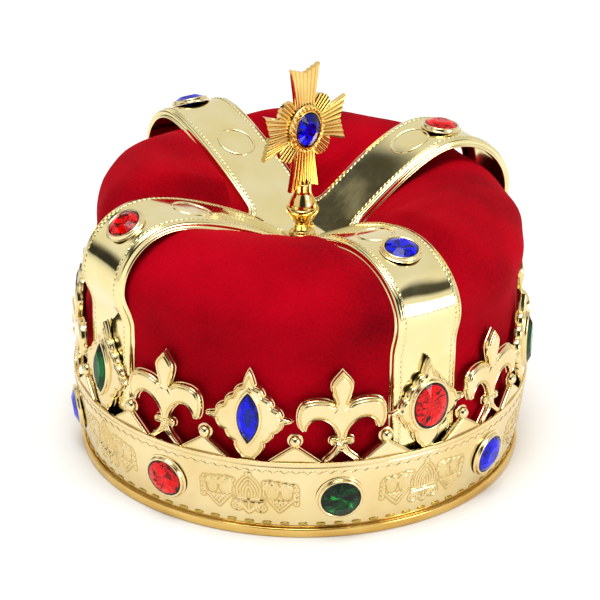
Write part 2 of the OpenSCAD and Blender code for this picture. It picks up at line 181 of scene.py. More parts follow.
# ---- bottom rim ---------------------------------------------------------------------------
# A smooth rounded bead moulded in ABS and vacuum-metallised in a deeper gold than the band.
# The band stands in a shallow groove along its top.

MM = 0.001
STEPS = 256                         # divisions round the crown


def plated_plastic(name, colour, deep_colour, roughness, peel_mm, peel_height_mm, painted_shade_colour=None):
    """Vacuum-metallised ABS: a mirror film that keeps the moulding's slight orange peel. Its lacquer
    varies in depth. Where a piece carries a per-point shade attribute, a darker colour is mixed in by it as
    painted shade."""
    material, tree, place = new_material(name)
    peel = add(tree, "ShaderNodeTexNoise", None, {
        "Vector": place, "Scale": 1000 / peel_mm, "Detail": 2.0, "Roughness": 0.4})
    clouds = add(tree, "ShaderNodeTexNoise", None, {"Vector": place, "Scale": 1000 / 18, "Detail": 3.0})
    handling = add(tree, "ShaderNodeTexNoise", None, {"Vector": place, "Scale": 1000 / 4, "Detail": 6.0})
    tone = add(tree, "ShaderNodeMapRange", None, {
        "Value": clouds.outputs["Fac"], "From Min": 0.3, "From Max": 0.75})
    film = add(tree, "ShaderNodeMix", {"data_type": "RGBA"}, {
        0: tone.outputs["Result"], 6: colour, 7: deep_colour})
    # Painted shade: the piece's shade attribute mixes in a darker gold, standing in for shade beside raised
    # lines.
    if painted_shade_colour:
        hollow = add(tree, "ShaderNodeAttribute", {"attribute_name": "hollow"})
        film = add(tree, "ShaderNodeMix", {"data_type": "RGBA"}, {
            0: hollow.outputs["Fac"], 6: film.outputs[2], 7: painted_shade_colour})
    rubbed = add(tree, "ShaderNodeMapRange", None, {
        "Value": handling.outputs["Fac"], "From Min": 0.35, "From Max": 0.8,
        "To Min": roughness, "To Max": roughness + 0.07})
    bump = add(tree, "ShaderNodeBump", None, {
        "Height": peel.outputs["Fac"], "Strength": 1.0, "Distance": peel_height_mm * MM})
    close_material(tree, add(tree, "ShaderNodeBsdfPrincipled", None, {
        "Base Color": film.outputs[2], "Metallic": 1.0, "Roughness": rubbed.outputs["Result"],
        "Normal": bump.outputs["Normal"]}))
    return material


def dress(piece, nodes=(), body="crown"):
    """The piece rides on a body and stands for its CAD nodes, which are hidden."""
    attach(piece, body)
    if nodes:
        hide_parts(*nodes)
    return piece


def make_piece(name, parts, finishes, sharp_angle, nodes=(), body="crown", wall=0.0):
    """One dressed object from (points in mm, faces) parts, welded, with faces outwards and soft shading
    up to sharp_angle; finishes is one material or a list. A wall turns a surface into a sheet."""
    shell = bmesh.new()
    for points, faces in parts:
        corners = [shell.verts.new(Vector(p) * MM) for p in points]
        for face in faces:
            shell.faces.new([corners[i] for i in face])
    bmesh.ops.remove_doubles(shell, verts=shell.verts, dist=0.0005 * MM)
    bmesh.ops.recalc_face_normals(shell, faces=shell.faces)
    mesh = bpy.data.meshes.new(name)
    shell.to_mesh(mesh)
    shell.free()
    for finish in finishes if isinstance(finishes, list) else [finishes]:
        mesh.materials.append(finish)
    mesh.shade_smooth()
    mesh.set_sharp_from_angle(angle=math.radians(sharp_angle))
    piece = show(bpy.data.objects.new(name, mesh))
    if wall:
        sheet = piece.modifiers.new("wall", "SOLIDIFY")
        sheet.thickness, sheet.offset = wall * MM, -1
    return dress(piece, nodes, body)


def eased(outline, radius, closed=True):
    """The same outline with each corner rounded by a curve that starts radius from it."""
    count = len(outline)
    result = []
    for i, corner in enumerate(np.array(outline, float)):
        if not closed and i in (0, count - 1):
            result.append(corner)
            continue
        ends = []
        for other in (outline[i - 1], outline[(i + 1) % count]):
            way = np.array(other, float) - corner
            length = np.linalg.norm(way)
            ends.append(corner + way / length * min(radius, 0.48 * length))
        for t in np.linspace(0, 1, 5):
            result.append((1 - t) ** 2 * ends[0] + 2 * t * (1 - t) * corner + t * t * ends[1])
    return result


def around(turn):
    """Outward and sideways directions at one angle or more round the crown."""
    sine, cosine, level = np.sin(turn), np.cos(turn), 0.0 * turn
    return np.stack([sine, -cosine, level], -1), np.stack([cosine, sine, level], -1)


def spread_round(count):
    """Angles of count places evenly round the crown, or round an oval."""
    return np.arange(count) * 2 * math.pi / count


def quads(rows, columns, close_rows=False, close_columns=True):
    """The faces of a grid of points that runs row by row; either way may close on itself."""
    return [(j * columns + i, j * columns + (i + 1) % columns,
             (j + 1) % rows * columns + (i + 1) % columns, (j + 1) % rows * columns + i)
            for j in range(rows if close_rows else rows - 1)
            for i in range(columns if close_columns else columns - 1)]


def turned(profile, steps=STEPS, closed=True):
    """A profile of (radius, height) turned round the Z axis; closed joins its last point to its first."""
    profile = np.array(profile, float)
    out, _ = around(spread_round(steps))
    points = [r * out + [0, 0, z] for r, z in profile]
    faces = quads(len(profile), steps, closed)
    if not closed:
        faces += [[row * steps + k for k in range(steps)]
                  for row in (0, len(profile) - 1) if profile[row][0] > 0.01]
    return np.concatenate(points), faces


rim_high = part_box("bottom_rim")[1]
rim_r, rim_top = rim_high.x / MM, rim_high.z / MM
band_foot_r = rim_r - 1.5
band_in_r = band_foot_r - 1.6
rim_gold = plated_plastic("metallised_abs_deep_gold", "#E8C474", "#D2A550", 0.12, 1.6, 0.012)
rim_profile = [(band_in_r, 0), (rim_r, 0), (rim_r, rim_top - 0.4), (rim_r - 0.7, rim_top),
               (band_foot_r + 0.25, rim_top), (band_foot_r + 0.1, rim_top - 0.7),
               (band_foot_r - 0.2, rim_top - 0.7), (band_foot_r - 0.2, rim_top), (band_in_r, rim_top)]
make_piece("bottom_rim_bead", [turned(eased(rim_profile, 1.1))], rim_gold, 38, ["bottom_rim"])


# ---- band ---------------------------------------------------------------------------------
# A conical strip of vacuum-metallised ABS with a rolled top edge. Low relief scrollwork stands
# between the gems, with a row of dashes along the foot and a wavy line under the top edge.

crown_gold = plated_plastic("metallised_abs_pale_gold", "#ECDAA8", "#E3C98C", 0.10, 1.4, 0.010)
band_low, band_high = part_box("band")
band_z0, band_z1 = band_low.z / MM, band_high.z / MM
band_top_r = band_high.x / MM
band_slope = (band_top_r - band_foot_r) / (band_z1 - band_z0)
band_tilt = math.atan(band_slope)


def band_r_at(z):
    """Radius of the band's face at height z."""
    return band_foot_r + (z - band_z0) * band_slope


def on_band(along, up, out, angle):
    """A point of the band's face: along it from an angle, up from its foot, and out from it."""
    z = band_z0 + up * math.cos(band_tilt) - out * math.sin(band_tilt)
    r = band_foot_r + up * math.sin(band_tilt) + out * math.cos(band_tilt)
    outwards, _ = around(angle + along / band_r_at(band_z0 + 16))      # lengths hold at the band's middle
    return outwards * np.expand_dims(r, -1) + np.expand_dims(z, -1) * [0, 0, 1]


band_wall = [(band_in_r, band_z0), (band_foot_r, band_z0), (band_r_at(band_z1 - 2.6), band_z1 - 2.6),
             (band_r_at(band_z1 - 2.2) - 0.35, band_z1 - 2.2), (band_r_at(band_z1 - 1.8), band_z1 - 1.8),
             (band_top_r, band_z1), (band_top_r - 1.6, band_z1)]
make_piece("band_wall", [turned(eased(band_wall, 0.35))], crown_gold, 38, ["band"])

SECTOR = math.pi / 4                # one lozenge and one fleur in each


def arc_points(cx, cy, rx, ry, start, stop, steps=14):
    """Points along part of an ellipse, angles in degrees from +X."""
    turn = np.radians(np.linspace(start, stop, steps))
    return np.stack([cx + rx * np.cos(turn), cy + ry * np.sin(turn)], 1)


def onion(half_width, height, foot):
    """A pointed arch with a bellied side, from foot to tip and back."""
    t = np.linspace(0, 1, 14)[:, None]
    side = ((1 - t) ** 3 * np.array([half_width * 0.8, foot]) + 3 * t * (1 - t) ** 2 * np.array(
        [half_width * 1.35, foot + height * 0.5]) + 3 * t * t * (1 - t) * np.array(
        [half_width * 0.5, foot + height * 0.82]) + t ** 3 * np.array([0, foot + height]))
    return np.concatenate([side, side[::-1] * [-1, 1]])


WINDOW_UP = 2.2                     # middle of the shields' oval windows over the ornament's middle
ORNAMENT_UP = 16.0                  # middle of an ornament over the band's foot


def scroll_lines():
    """The raised lines of one ornament, about its own centre: an onion dome over a pendant, between
    two shields with a pair of oval windows over a lattice."""
    strokes = [[(-6.4, z), (6.4, z)] for z in (-2.5, -3.8)] + [[(0, -4), (0, -9.6)]]
    arcs = [(0, 10.8, 0.7, 0.7, 0, 360, 9)]
    for side in (-1, 1):
        strokes += [[(side * x0, -4.2), (side * x1, -9.2)] for x0, x1 in ((5.6, 0.6), (3.4, 0.4))]
        strokes += [[(side * 8.2, -1.6), (side * 13.2, -8.0), (side * 19.4, -1.4), (side * 19.6, 2.2)]]
        for top, low, way in ((8.6, 12.4, 1), (19.0, 14.4, -1)):        # the lattice, one way and the other
            strokes += [[(side * (top + way * 1.9 * k), -2.0 - 0.1 * k),
                         (side * (low + way * 1.25 * k), -7.0 + 1.2 * k)] for k in range(5)]
        arcs += [(side * 5.2, -6.6, 2.1, 2.0, 0, 360, 16), (side * 5.2, -6.6, 0.9, 0.9, 0, 360, 10),
                 (side * 7.2, 2.6, 1.0, 3.4, 90, 270, 10), (side * 7.2, 6.6, 0.9, 0.9, 0, 360, 9)]
        for cx, rx, ry in ((10.1, 2.4, 3.5), (16.1, 1.9, 3.3)):
            arcs += [(side * cx, WINDOW_UP, rx, ry, 0, 360, 22),
                     (side * cx, WINDOW_UP, rx + 0.9, ry + 1.0, 15, 165, 14)]
        arcs += [(side * (9.2 + 3.2 * k), 6.6 - 0.45 * k, 1.5, 1.3, 0, 180, 8) for k in range(4)]
        arcs += [(side * 20.4, -3.4 + 2.4 * k, 0.75, 0.75, 0, 360, 8) for k in range(4)]
    domes = [onion(5.2 - 1.25 * k, 12.6 - 1.9 * k, -2.4) for k in range(4)]
    return domes + [np.array(stroke, float) for stroke in strokes] + [arc_points(*arc) for arc in arcs]


def line_distance(points, lines):
    """Distance from each point to the nearest of some lines."""
    nearest = np.full(len(points), 1e9)
    for line in lines:
        for a, b in zip(line[:-1], line[1:]):
            way = b - a
            t = np.clip(((points - a) @ way) / max(way @ way, 1e-9), 0, 1)
            nearest = np.minimum(nearest, np.linalg.norm(points - a - t[:, None] * way, axis=1))
    return nearest


def share_of(value, start, length):
    """0 up to start, 1 from length beyond it, and evenly between."""
    return np.clip((value - start) / length, 0, 1)


def scrollwork():
    """All eight ornaments as fine relief patches whose edges sink into the band, with how much painted
    shade each point takes beside the raised lines."""
    half_x, half_y, pitch = 22.2, 11.9, 0.33
    line_height, line_half, window_height, sunk = 0.5, 0.55, 0.4, 0.08
    xs = np.linspace(-half_x, half_x, int(2 * half_x / pitch))
    ys = np.linspace(-half_y, half_y, int(2 * half_y / pitch))
    grid = np.stack(np.meshgrid(xs, ys), -1).reshape(-1, 2)
    near = line_distance(grid, scroll_lines())
    rise = line_height * 0.5 * (1 + np.cos(np.pi * np.clip(near / line_half, 0, 1)))
    # Painted shade: a band along both sides of each raised line, and a light share over the oval windows.
    hollow = share_of(near, 0.28, 0.2) * share_of(-near, -1.25, 0.5)
    for cx, rx, ry in ((10.1, 2.0, 3.1), (-10.1, 2.0, 3.1), (16.1, 1.5, 2.9), (-16.1, 1.5, 2.9)):
        dome = 1 - ((grid[:, 0] - cx) / rx) ** 2 - ((grid[:, 1] - WINDOW_UP) / ry) ** 2
        rise = np.maximum(rise, window_height * np.sqrt(np.clip(dome, 0, 1)))
        hollow = np.where(dome > 0.15, 0.15, hollow)
    edge = np.minimum(half_x - np.abs(grid[:, 0]), half_y - np.abs(grid[:, 1]))
    out = rise + np.where(edge < 0.2, -sunk, 0.02)
    faces = quads(len(ys), len(xs), close_columns=False)
    parts = [(on_band(grid[:, 0], grid[:, 1] + ORNAMENT_UP, out, k * SECTOR), faces) for k in range(8)]
    return parts, np.tile(hollow, 8)


# The pale gold again, with painted shade beside the scrollwork's raised lines.
relief_gold_painted_shade = plated_plastic("metallised_abs_relief_painted_shade", "#ECDAA8", "#E3C98C", 0.12, 1.4, 0.010, "#C6A75E")
scroll_shapes, scroll_painted_shade = scrollwork()
scroll_piece = make_piece("band_scrollwork", scroll_shapes, relief_gold_painted_shade, 80)
scroll_piece.data.attributes.new("hollow", "FLOAT", "POINT").data.foreach_set("value", scroll_painted_shade)


def bead_row_tree(name):
    """Geometry Nodes: sets one bead on every point of a row, squared to the row's own directions."""
    tree = bpy.data.node_groups.new(name, "GeometryNodeTree")
    for label, kind in (("Row", "Geometry"), ("Bead", "Object"), ("Size spread", "Float"), ("Seed", "Int"),
                        ("Finish", "Material")):
        tree.interface.new_socket(label, in_out="INPUT", socket_type="NodeSocket" + kind)
    tree.interface.new_socket("Beads", in_out="OUTPUT", socket_type="NodeSocketGeometry")
    given = add(tree, "NodeGroupInput").outputs
    up = add(tree, "GeometryNodeInputNamedAttribute", {"data_type": "FLOAT_VECTOR"}, {"Name": "out"})
    along = add(tree, "GeometryNodeInputNamedAttribute", {"data_type": "FLOAT_VECTOR"}, {"Name": "along"})
    stood = add(tree, "FunctionNodeAlignRotationToVector", {"axis": "Z"}, {"Vector": up.outputs[0]})
    squared = add(tree, "FunctionNodeAlignRotationToVector", {"axis": "X", "pivot_axis": "Z"}, {
        "Rotation": stood.outputs[0], "Vector": along.outputs[0]})
    least = add(tree, "ShaderNodeMath", {"operation": "SUBTRACT"}, {0: 1.0, 1: given["Size spread"]})
    size = add(tree, "FunctionNodeRandomValue", {"data_type": "FLOAT"}, {"Seed": given["Seed"]})
    tree.links.new(least.outputs[0], size.inputs[2])
    size.inputs[3].default_value = 1.0
    bead = add(tree, "GeometryNodeObjectInfo", None, {"Object": given["Bead"]})
    placed = add(tree, "GeometryNodeInstanceOnPoints", None, {
        "Points": given["Row"], "Instance": bead.outputs["Geometry"],
        "Rotation": squared.outputs[0], "Scale": size.outputs[1]})
    solid = add(tree, "GeometryNodeRealizeInstances", None, {"Geometry": placed.outputs[0]})
    painted = add(tree, "GeometryNodeSetMaterial", None, {
        "Geometry": solid.outputs[0], "Material": given["Finish"]})
    add(tree, "NodeGroupOutput", None, {"Beads": painted.outputs[0]})
    return tree


bead_rows = bead_row_tree("bead_row")


def set_row(name, places, outs, alongs, bead, finish, spread, seed, body="crown"):
    """A plain mesh of beads: bead is (points in mm, faces) lying along X and standing up Z."""
    mesh = bpy.data.meshes.new(name + "_bead")
    mesh.from_pydata([Vector(p) * MM for p in bead[0]], [], bead[1])
    mesh.shade_smooth()
    mesh.set_sharp_from_angle(angle=math.radians(50))
    sample = bpy.data.objects.new(name + "_bead", mesh)
    row_mesh = bpy.data.meshes.new(name + "_row")
    row_mesh.from_pydata([Vector(p) * MM for p in places], [], [])
    for label, values in (("out", outs), ("along", alongs)):
        attribute = row_mesh.attributes.new(label, "FLOAT_VECTOR", "POINT")
        attribute.data.foreach_set("vector", np.array(values, np.float32).ravel())
    row = show(bpy.data.objects.new(name + "_row", row_mesh))
    modifier = row.modifiers.new("beads", "NODES")
    modifier.node_group = bead_rows
    given = {"Bead": sample, "Size spread": spread, "Seed": seed, "Finish": finish}
    for socket in bead_rows.interface.items_tree:
        if socket.in_out == "INPUT" and socket.name in given:
            modifier[socket.identifier] = given[socket.name]
    shaped = bpy.data.meshes.new_from_object(row.evaluated_get(bpy.context.evaluated_depsgraph_get()))
    bpy.data.objects.remove(row)
    bpy.data.objects.remove(sample)
    shaped.name = name
    dress(show(bpy.data.objects.new(name, shaped)), body=body)


def pillow(length, width, height, ring=14):
    """A low rounded pad, flat underneath: length along X, width along Y."""
    points = []
    levels = [(1.0, -0.2), (1.0, 0.35), (0.86, 0.8), (0.55, 1.0)]
    for scale, level in levels:
        for k in range(ring):
            turn = 2 * math.pi * k / ring
            x, y = math.cos(turn), math.sin(turn)
            reach = max(abs(x), abs(y)) ** -0.55 * scale / 2        # squarer than an oval
            points.append((x * reach * length, y * reach * width, level * height))
    return points, quads(len(levels), ring) + [[(len(levels) - 1) * ring + k for k in range(ring)]]


def band_row(name, count, up, bead, finish, spread, seed):
    """Beads in a level row round the band, up millimetres from its foot."""
    turns = spread_round(count)
    level, along = around(turns)
    out = level * math.cos(band_tilt) - [0, 0, math.sin(band_tilt)]
    set_row(name, on_band(0, up, 0.0, turns), out, along, bead, finish, spread, seed)


# Painted shade: the foot dashes take a darker copy of the band's gold plating.
dash_gold_painted_shade = plated_plastic("metallised_abs_gold_painted_shade", "#BFA351", "#AC8F42", 0.16, 1.4, 0.010)
band_row("band_foot_dashes", 80, 2.1, pillow(4.4, 1.4, 0.45), dash_gold_painted_shade, 0.05, 3)


def wave_line(up, waves, swing, width, height):
    """A raised wavy line round the band, up millimetres from its foot."""
    turns = spread_round(waves * 10)
    level = up + swing * np.sin(turns * waves)
    profile = [(-0.5, -0.1), (-0.25, height * 0.75), (0, height), (0.25, height * 0.75), (0.5, -0.1)]
    return (np.concatenate([on_band(0, level + across * width, out, turns) for across, out in profile]),
            quads(len(profile), len(turns)))


make_piece("band_top_wave", [wave_line(28.9, 132, 0.55, 0.7, 0.35)], crown_gold, 80)


# ---- sweatband ----------------------------------------------------------------------------
# A strip of dark red felt on thin foam, stitched into a ring and glued inside the rim.
# Its top edge is turned over and run down with one row of stitches.

def felt(name, colour, fleck_colour):
    """Pressed wool felt: matt, slightly flecked, with a short matted fibre surface."""
    material, tree, place = new_material(name)
    fibres = add(tree, "ShaderNodeTexNoise", None, {"Vector": place, "Scale": 1000 / 0.9, "Detail": 4.0})
    flecks = add(tree, "ShaderNodeValToRGB", {"stops": [(0.35, colour), (0.75, fleck_colour)]}, {
        "Fac": fibres.outputs["Fac"]})
    bump = add(tree, "ShaderNodeBump", None, {"Height": fibres.outputs["Fac"], "Distance": 0.2 * MM})
    close_material(tree, add(tree, "ShaderNodeBsdfPrincipled", None, {
        "Base Color": flecks.outputs["Color"], "Roughness": 0.95, "Specular IOR Level": 0.2,
        "Sheen Weight": 0.3, "Normal": bump.outputs["Normal"]}))
    return material


band_felt = felt("dark_red_wool_felt", "#4A0B14", "#6B1420")
felt_low, felt_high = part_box("sweatband")
felt_r, felt_z0, felt_z1 = felt_high.x / MM, felt_low.z / MM, felt_high.z / MM
head_r = felt_r - 1.3
felt_profile = [(head_r + 0.1, felt_z0), (felt_r, felt_z0), (felt_r, felt_z1), (head_r, felt_z1),
                (head_r, felt_z1 - 4), (head_r + 0.35, felt_z1 - 4.4), (head_r + 0.1, felt_z1 - 5)]
felt_piece = make_piece("sweatband_strip", [turned(eased(felt_profile, 0.5))], band_felt, 38,
                        ["sweatband"])

stitch_out, stitch_along = around(spread_round(190))
set_row("sweatband_stitches", stitch_out * (head_r + 0.05) + [0, 0, felt_z1 - 3.2], -stitch_out, stitch_along,
        pillow(2.2, 0.5, 0.3, 8), band_felt, 0.1, 5)


# ---- arch curves --------------------------------------------------------------------------
# The plated sheet's four arms all leave one funnel-shaped centre. Each climbs to its own peak and
# drops behind the lozenge in front of it, so each arm has its own curve.

ARMS = range(4)                     # front, right, back, left
arch_peak_z = [119.5, 132, 127, 124.5]
arch_peak_in = [30.7, 28.7, 11, 22.7]       # from the foot's radius in to the peak
arch_bulge = [2.8, 4.3, 14, 4.8]            # from the foot's radius out to the side's widest point
arch_side_z = [96, 103, 103, 98]            # height of that point
arch_half = 15.75                   # half an arm's width
arch_t = 1.8                        # depth of the sheet with its rolled edge
arch_foot_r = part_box("arch_sheet")[1].x / MM - arch_bulge[1]
arch_foot_z = 27
hub_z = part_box("hub_plate")[1].z / MM + 0.1 + arch_t
hub_rise = 6                        # from the sheet's centre to where the arms part
seat_r = 6.5                        # flat seat of the finial
crest_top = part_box("fleur_1")[1].z / MM
corner_r = 5.5                      # rounding of the sheet where two arms part
MITRE = 1 - math.sqrt(0.5)          # share of that radius from a corner to its arc, along an arm


def bend(a, b, c, d, steps=40):
    """Points of a cubic curve from a to d, without d itself."""
    t = np.linspace(0, 1, steps, endpoint=False)[:, None]
    a, b, c, d = (np.array(p, float) for p in (a, b, c, d))
    return (1 - t) ** 3 * a + 3 * t * (1 - t) ** 2 * b + 3 * t * t * (1 - t) * c + t ** 3 * d


def shoulder_ends(k):
    """The top of an arm's curve and the widest point of its side."""
    return (np.array([arch_foot_r - arch_peak_in[k], arch_peak_z[k]]),
            np.array([arch_foot_r + arch_bulge[k], arch_side_z[k]]))


def shoulder(peak, side, steps=40):
    """The curve from an arm's top to its side."""
    over, down = (side - peak) * [0.6, 0], (peak - side) * [0, 0.5]
    return bend(peak, peak + over, side + down, side, steps)


def arch_line(k):
    """Radius and height along the outside of an arm, evenly spaced from the centre to its foot."""
    peak, side = shoulder_ends(k)
    part = np.array([arch_half, hub_z + hub_rise])
    low = np.array([arch_foot_r, crest_top + 1])
    rough = np.concatenate([
        bend((0, hub_z), (3, hub_z), (5, hub_z), (seat_r + 1.5, hub_z + 0.9), 12),
        bend((seat_r + 1.5, hub_z + 0.9), part - [4, 2.6], part - [2, 1.3], part, 12),
        bend(part, part + [10, 10 * hub_rise / (arch_half - seat_r)], peak - [18, 0], peak),
        shoulder(peak, side),
        bend(side, side - [0, 6], low + [0, 6], low, 20), [low, (arch_foot_r, arch_foot_z)]])
    length = np.concatenate([[0], np.cumsum(np.linalg.norm(np.diff(rough, axis=0), axis=1))])
    even = np.linspace(0, length[-1], 400)
    return even, np.stack([np.interp(even, length, rough[:, 0]), np.interp(even, length, rough[:, 1])], 1)


arm_lines = [arch_line(k) for k in ARMS]


def on_arm(k, s, w):
    """Points and outward directions of the sheet: s along arm k from the centre, w across it. The thin
    sheet has faint dents away from its centre and edges."""
    lengths, line = arm_lines[k]
    r, z = np.interp(s, lengths, line[:, 0]), np.interp(s, lengths, line[:, 1])
    slope = np.gradient(line, lengths, axis=0)
    dr, dz = np.interp(s, lengths, slope[:, 0]), np.interp(s, lengths, slope[:, 1])
    size = np.hypot(dr, dz)
    forth, across = around(k * math.pi / 2)
    up = np.array([0, 0, 1])
    out = (-dz / size)[..., None] * forth + (dr / size)[..., None] * up
    dents = 0.10 * np.sin(s / 9.0 + 2 * k) * np.sin(w / 6.0 + k) + 0.07 * np.sin(s / 4.3 + w / 5.1 + k)
    reach = dents * share_of(r, 12, 10) * share_of(arch_half - np.abs(w), 0, 4)
    return r[..., None] * forth + w[..., None] * across + z[..., None] * up + reach[..., None] * out, out


def arm_half(r, inset):
    """Half the width of an arm's sheet at plan radius r, inset from its edge, with the parting rounded."""
    half, fillet = arch_half - inset, corner_r + inset
    inner = half + fillet
    return np.where(r < inner, inner - np.sqrt(np.clip(fillet ** 2 - (inner - r) ** 2, 0, None)), half)


def edge_run(k, inset, step=1.0):
    """The sheet's edge between arm k and the next, from foot to foot: points, and their outward and
    sideways directions. inset is a number or a function of the distance along the arm."""
    halves = []
    for arm, side in ((k, 1), ((k + 1) % 4, -1)):
        lengths, line = arm_lines[arm]
        s = np.arange(lengths[-1], 0, -step)
        depth = inset(s) if callable(inset) else np.full(len(s), float(inset))
        r = np.interp(s, lengths, line[:, 0])
        w = arm_half(r, depth)
        keep = r > (arch_half - depth) + MITRE * (corner_r + depth)
        points, outs = on_arm(arm, s[keep], side * w[keep])
        halves.append((points, outs))
    points = np.concatenate([halves[0][0], halves[1][0][::-1]])
    outs = np.concatenate([halves[0][1], halves[1][1][::-1]])
    for _ in range(3):
        outs[1:-1] = outs[:-2] + 2 * outs[1:-1] + outs[2:]
        outs /= np.linalg.norm(outs, axis=1)[:, None]
    way = np.gradient(points, axis=0)
    way /= np.linalg.norm(way, axis=1)[:, None]
    sides = np.cross(outs, way)
    outs = np.cross(way, sides)
    if (sides[len(sides) // 2] @ around((k + 0.5) * math.pi / 2)[0]) < 0:
        sides = -sides
    if outs[len(outs) // 2][2] < 0:
        outs = -outs
    return points, outs, sides


def swept(points, outs, sides, profile, loop=False):
    """A closed profile of (sideways, outward) carried along a run; loop joins its ends."""
    profile = np.array(profile, float)
    rows, count = len(points), len(profile)
    sideways, outwards = profile[None, :, :1], profile[None, :, 1:]
    solid = points[:, None] + sideways * sides[:, None] + outwards * outs[:, None]
    faces = quads(rows, count, loop)
    if not loop:
        faces += [list(range(count)), [(rows - 1) * count + m for m in range(count)]]
    return solid.reshape(-1, 3), faces


# ---- velvet cap ---------------------------------------------------------------------------
# A bonnet of short-pile red velvet over thin wadding, gathered to a hem that is glued behind the
# band. It puffs up between the arms and dips where the sheet presses on it.

def velvet(name, deep_colour, colour, lit_colour):
    """Short-pile velvet: dark where the pile is seen end-on, with a bright bloom at grazing angles
    and patches where the nap has been stroked the other way."""
    material, tree, place = new_material(name)
    nap = add(tree, "ShaderNodeTexNoise", None, {"Vector": place, "Scale": 1000 / 45, "Detail": 2.0})
    tufts = add(tree, "ShaderNodeTexNoise", None, {"Vector": place, "Scale": 1000 / 1.1, "Detail": 3.0})
    stroked = add(tree, "ShaderNodeMath", {"operation": "MULTIPLY_ADD"}, {0: tufts.outputs["Fac"], 1: 0.35})
    tree.links.new(nap.outputs["Fac"], stroked.inputs[2])
    pile = add(tree, "ShaderNodeValToRGB", {
        "stops": [(0.42, deep_colour), (0.66, colour), (0.95, lit_colour)]}, {"Fac": stroked.outputs[0]})
    bump = add(tree, "ShaderNodeBump", None, {"Height": tufts.outputs["Fac"], "Distance": 0.25 * MM})
    close_material(tree, add(tree, "ShaderNodeBsdfPrincipled", None, {
        "Base Color": pile.outputs["Color"], "Roughness": 0.9, "Specular IOR Level": 0.04,
        "Sheen Weight": 0.16, "Sheen Roughness": 0.35, "Sheen Tint": "#FF1428",
        "Normal": bump.outputs["Normal"]}))
    return material


red_velvet = velvet("short_pile_red_velvet", "#70000C", "#9C0010", "#B80018")
hem_r = felt_r + 0.1 + 1.4          # a gap and the hem's own thickness outside the sweatband
hem_z = rim_top + 1
puff_peak = np.array([hem_r - 26.6, 122])
puff_side = np.array([hem_r + 2.6, 98])
puff_low = np.array([hem_r + 0.4, crest_top + 0.5])
cap_centre_z = hub_z - 4.2
UNEVEN = [(0.75, 0.0, 0.0, 4.5), (1.25, -9.0, -3.0, 7.5)]       # a puff's middle in half turns, and how far
                                                               # it goes out low down, out high up, and up


def puff_line():
    """Radius and height of the cap's outside from its centre to its hem."""
    flat = np.array([12.5, cap_centre_z])
    return np.concatenate([
        [(0.5, cap_centre_z), (6, cap_centre_z)],
        bend(flat, flat + [10, 9], puff_peak - [22, 0], puff_peak, 34),
        bend(puff_peak, puff_peak + [14, 0], puff_side + [0, 10], puff_side, 26),
        bend(puff_side, puff_side - [0, 8], puff_low + [0, 6], puff_low, 12),
        [puff_low - [0.1, 14], puff_low - [0.3, 26], (hem_r, 44), (hem_r - 0.1, 32), (hem_r - 0.1, 18),
         (hem_r - 0.1, hem_z)]])


def cap_surface(columns=288):
    """The cap's outside, puffed unevenly between the arms and held down under them."""
    line = puff_line()
    turns = spread_round(columns)
    r = np.repeat(line[:, :1], columns, 1)
    z = np.repeat(line[:, 1:], columns, 1)
    soft = share_of(z, crest_top - 15, 30) * share_of(r, 10, 20)
    r += soft * (0.7 * np.sin(7 * turns + 1.3) * np.sin(z / 17) + 0.35 * np.sin(19 * turns + z / 9))
    z += soft * (0.6 * np.sin(5 * turns + r / 13) + 0.3 * np.sin(13 * turns - r / 8))
    for middle, low_out, high_out, upwards in UNEVEN:
        share = share_of(np.cos(turns - middle * math.pi), 1 - MITRE, MITRE)
        share = share * share * (3 - 2 * share)
        high = share_of(z, 97, 17)
        outwards = (low_out * (1 - high) + high_out * high) * share_of(z, crest_top - 12, 22)
        r += share * outwards * share_of(r, 25, 50)
        z += share * upwards * share_of(z, crest_top + 5, 25)
    for k in ARMS:
        lengths, arm = arm_lines[k]
        slope = np.gradient(arm, lengths, axis=0)
        out = np.stack([-slope[:, 1], slope[:, 0]], 1) / np.linalg.norm(slope, axis=1)[:, None]
        under = arm - out * 3.0                 # the sheet and its roll lie over the cloth
        away = turns - k * math.pi / 2
        across = np.abs(r * np.sin(away))
        facing = np.cos(away) > 0
        cover = np.where(facing, share_of(-across, -arch_half - 9.5, 9.0), 0)
        cover = cover ** 2 * (3 - 2 * cover)
        plan = r * np.cos(away)
        flat = np.stack([np.where(facing, plan, 0), z], -1).reshape(-1, 2)
        nearest = np.argmin(((flat[:, None] - under[None, ::4]) ** 2).sum(-1), axis=1) * 4
        proud = ((flat - under[nearest]) * out[nearest]).sum(-1).reshape(z.shape)
        shift = np.clip(proud, 0, None) * cover
        r -= shift * out[nearest][:, 0].reshape(z.shape)
        z -= shift * out[nearest][:, 1].reshape(z.shape)
    points = around(turns)[0] * r[..., None] + z[..., None] * [0, 0, 1]
    return points.reshape(-1, 3), quads(*r.shape) + [list(range(columns))]


cap_piece = make_piece("velvet_bonnet", [cap_surface()], red_velvet, 180, ["velvet_cap"],
                       wall=1.6)


# ---- arched sheet -------------------------------------------------------------------------
# One sheet of thin metallised plastic, pressed into four arms with a rolled, down-turned edge.
# A wavy bead line follows the edge, and each arm carries an embossed oval ring.

arch_gold = plated_plastic("metallised_pressed_sheet", "#F0E3B0", "#E9D793", 0.07, 9.0, 0.03)
ROLL = 1.5                          # radius of the rolled edge


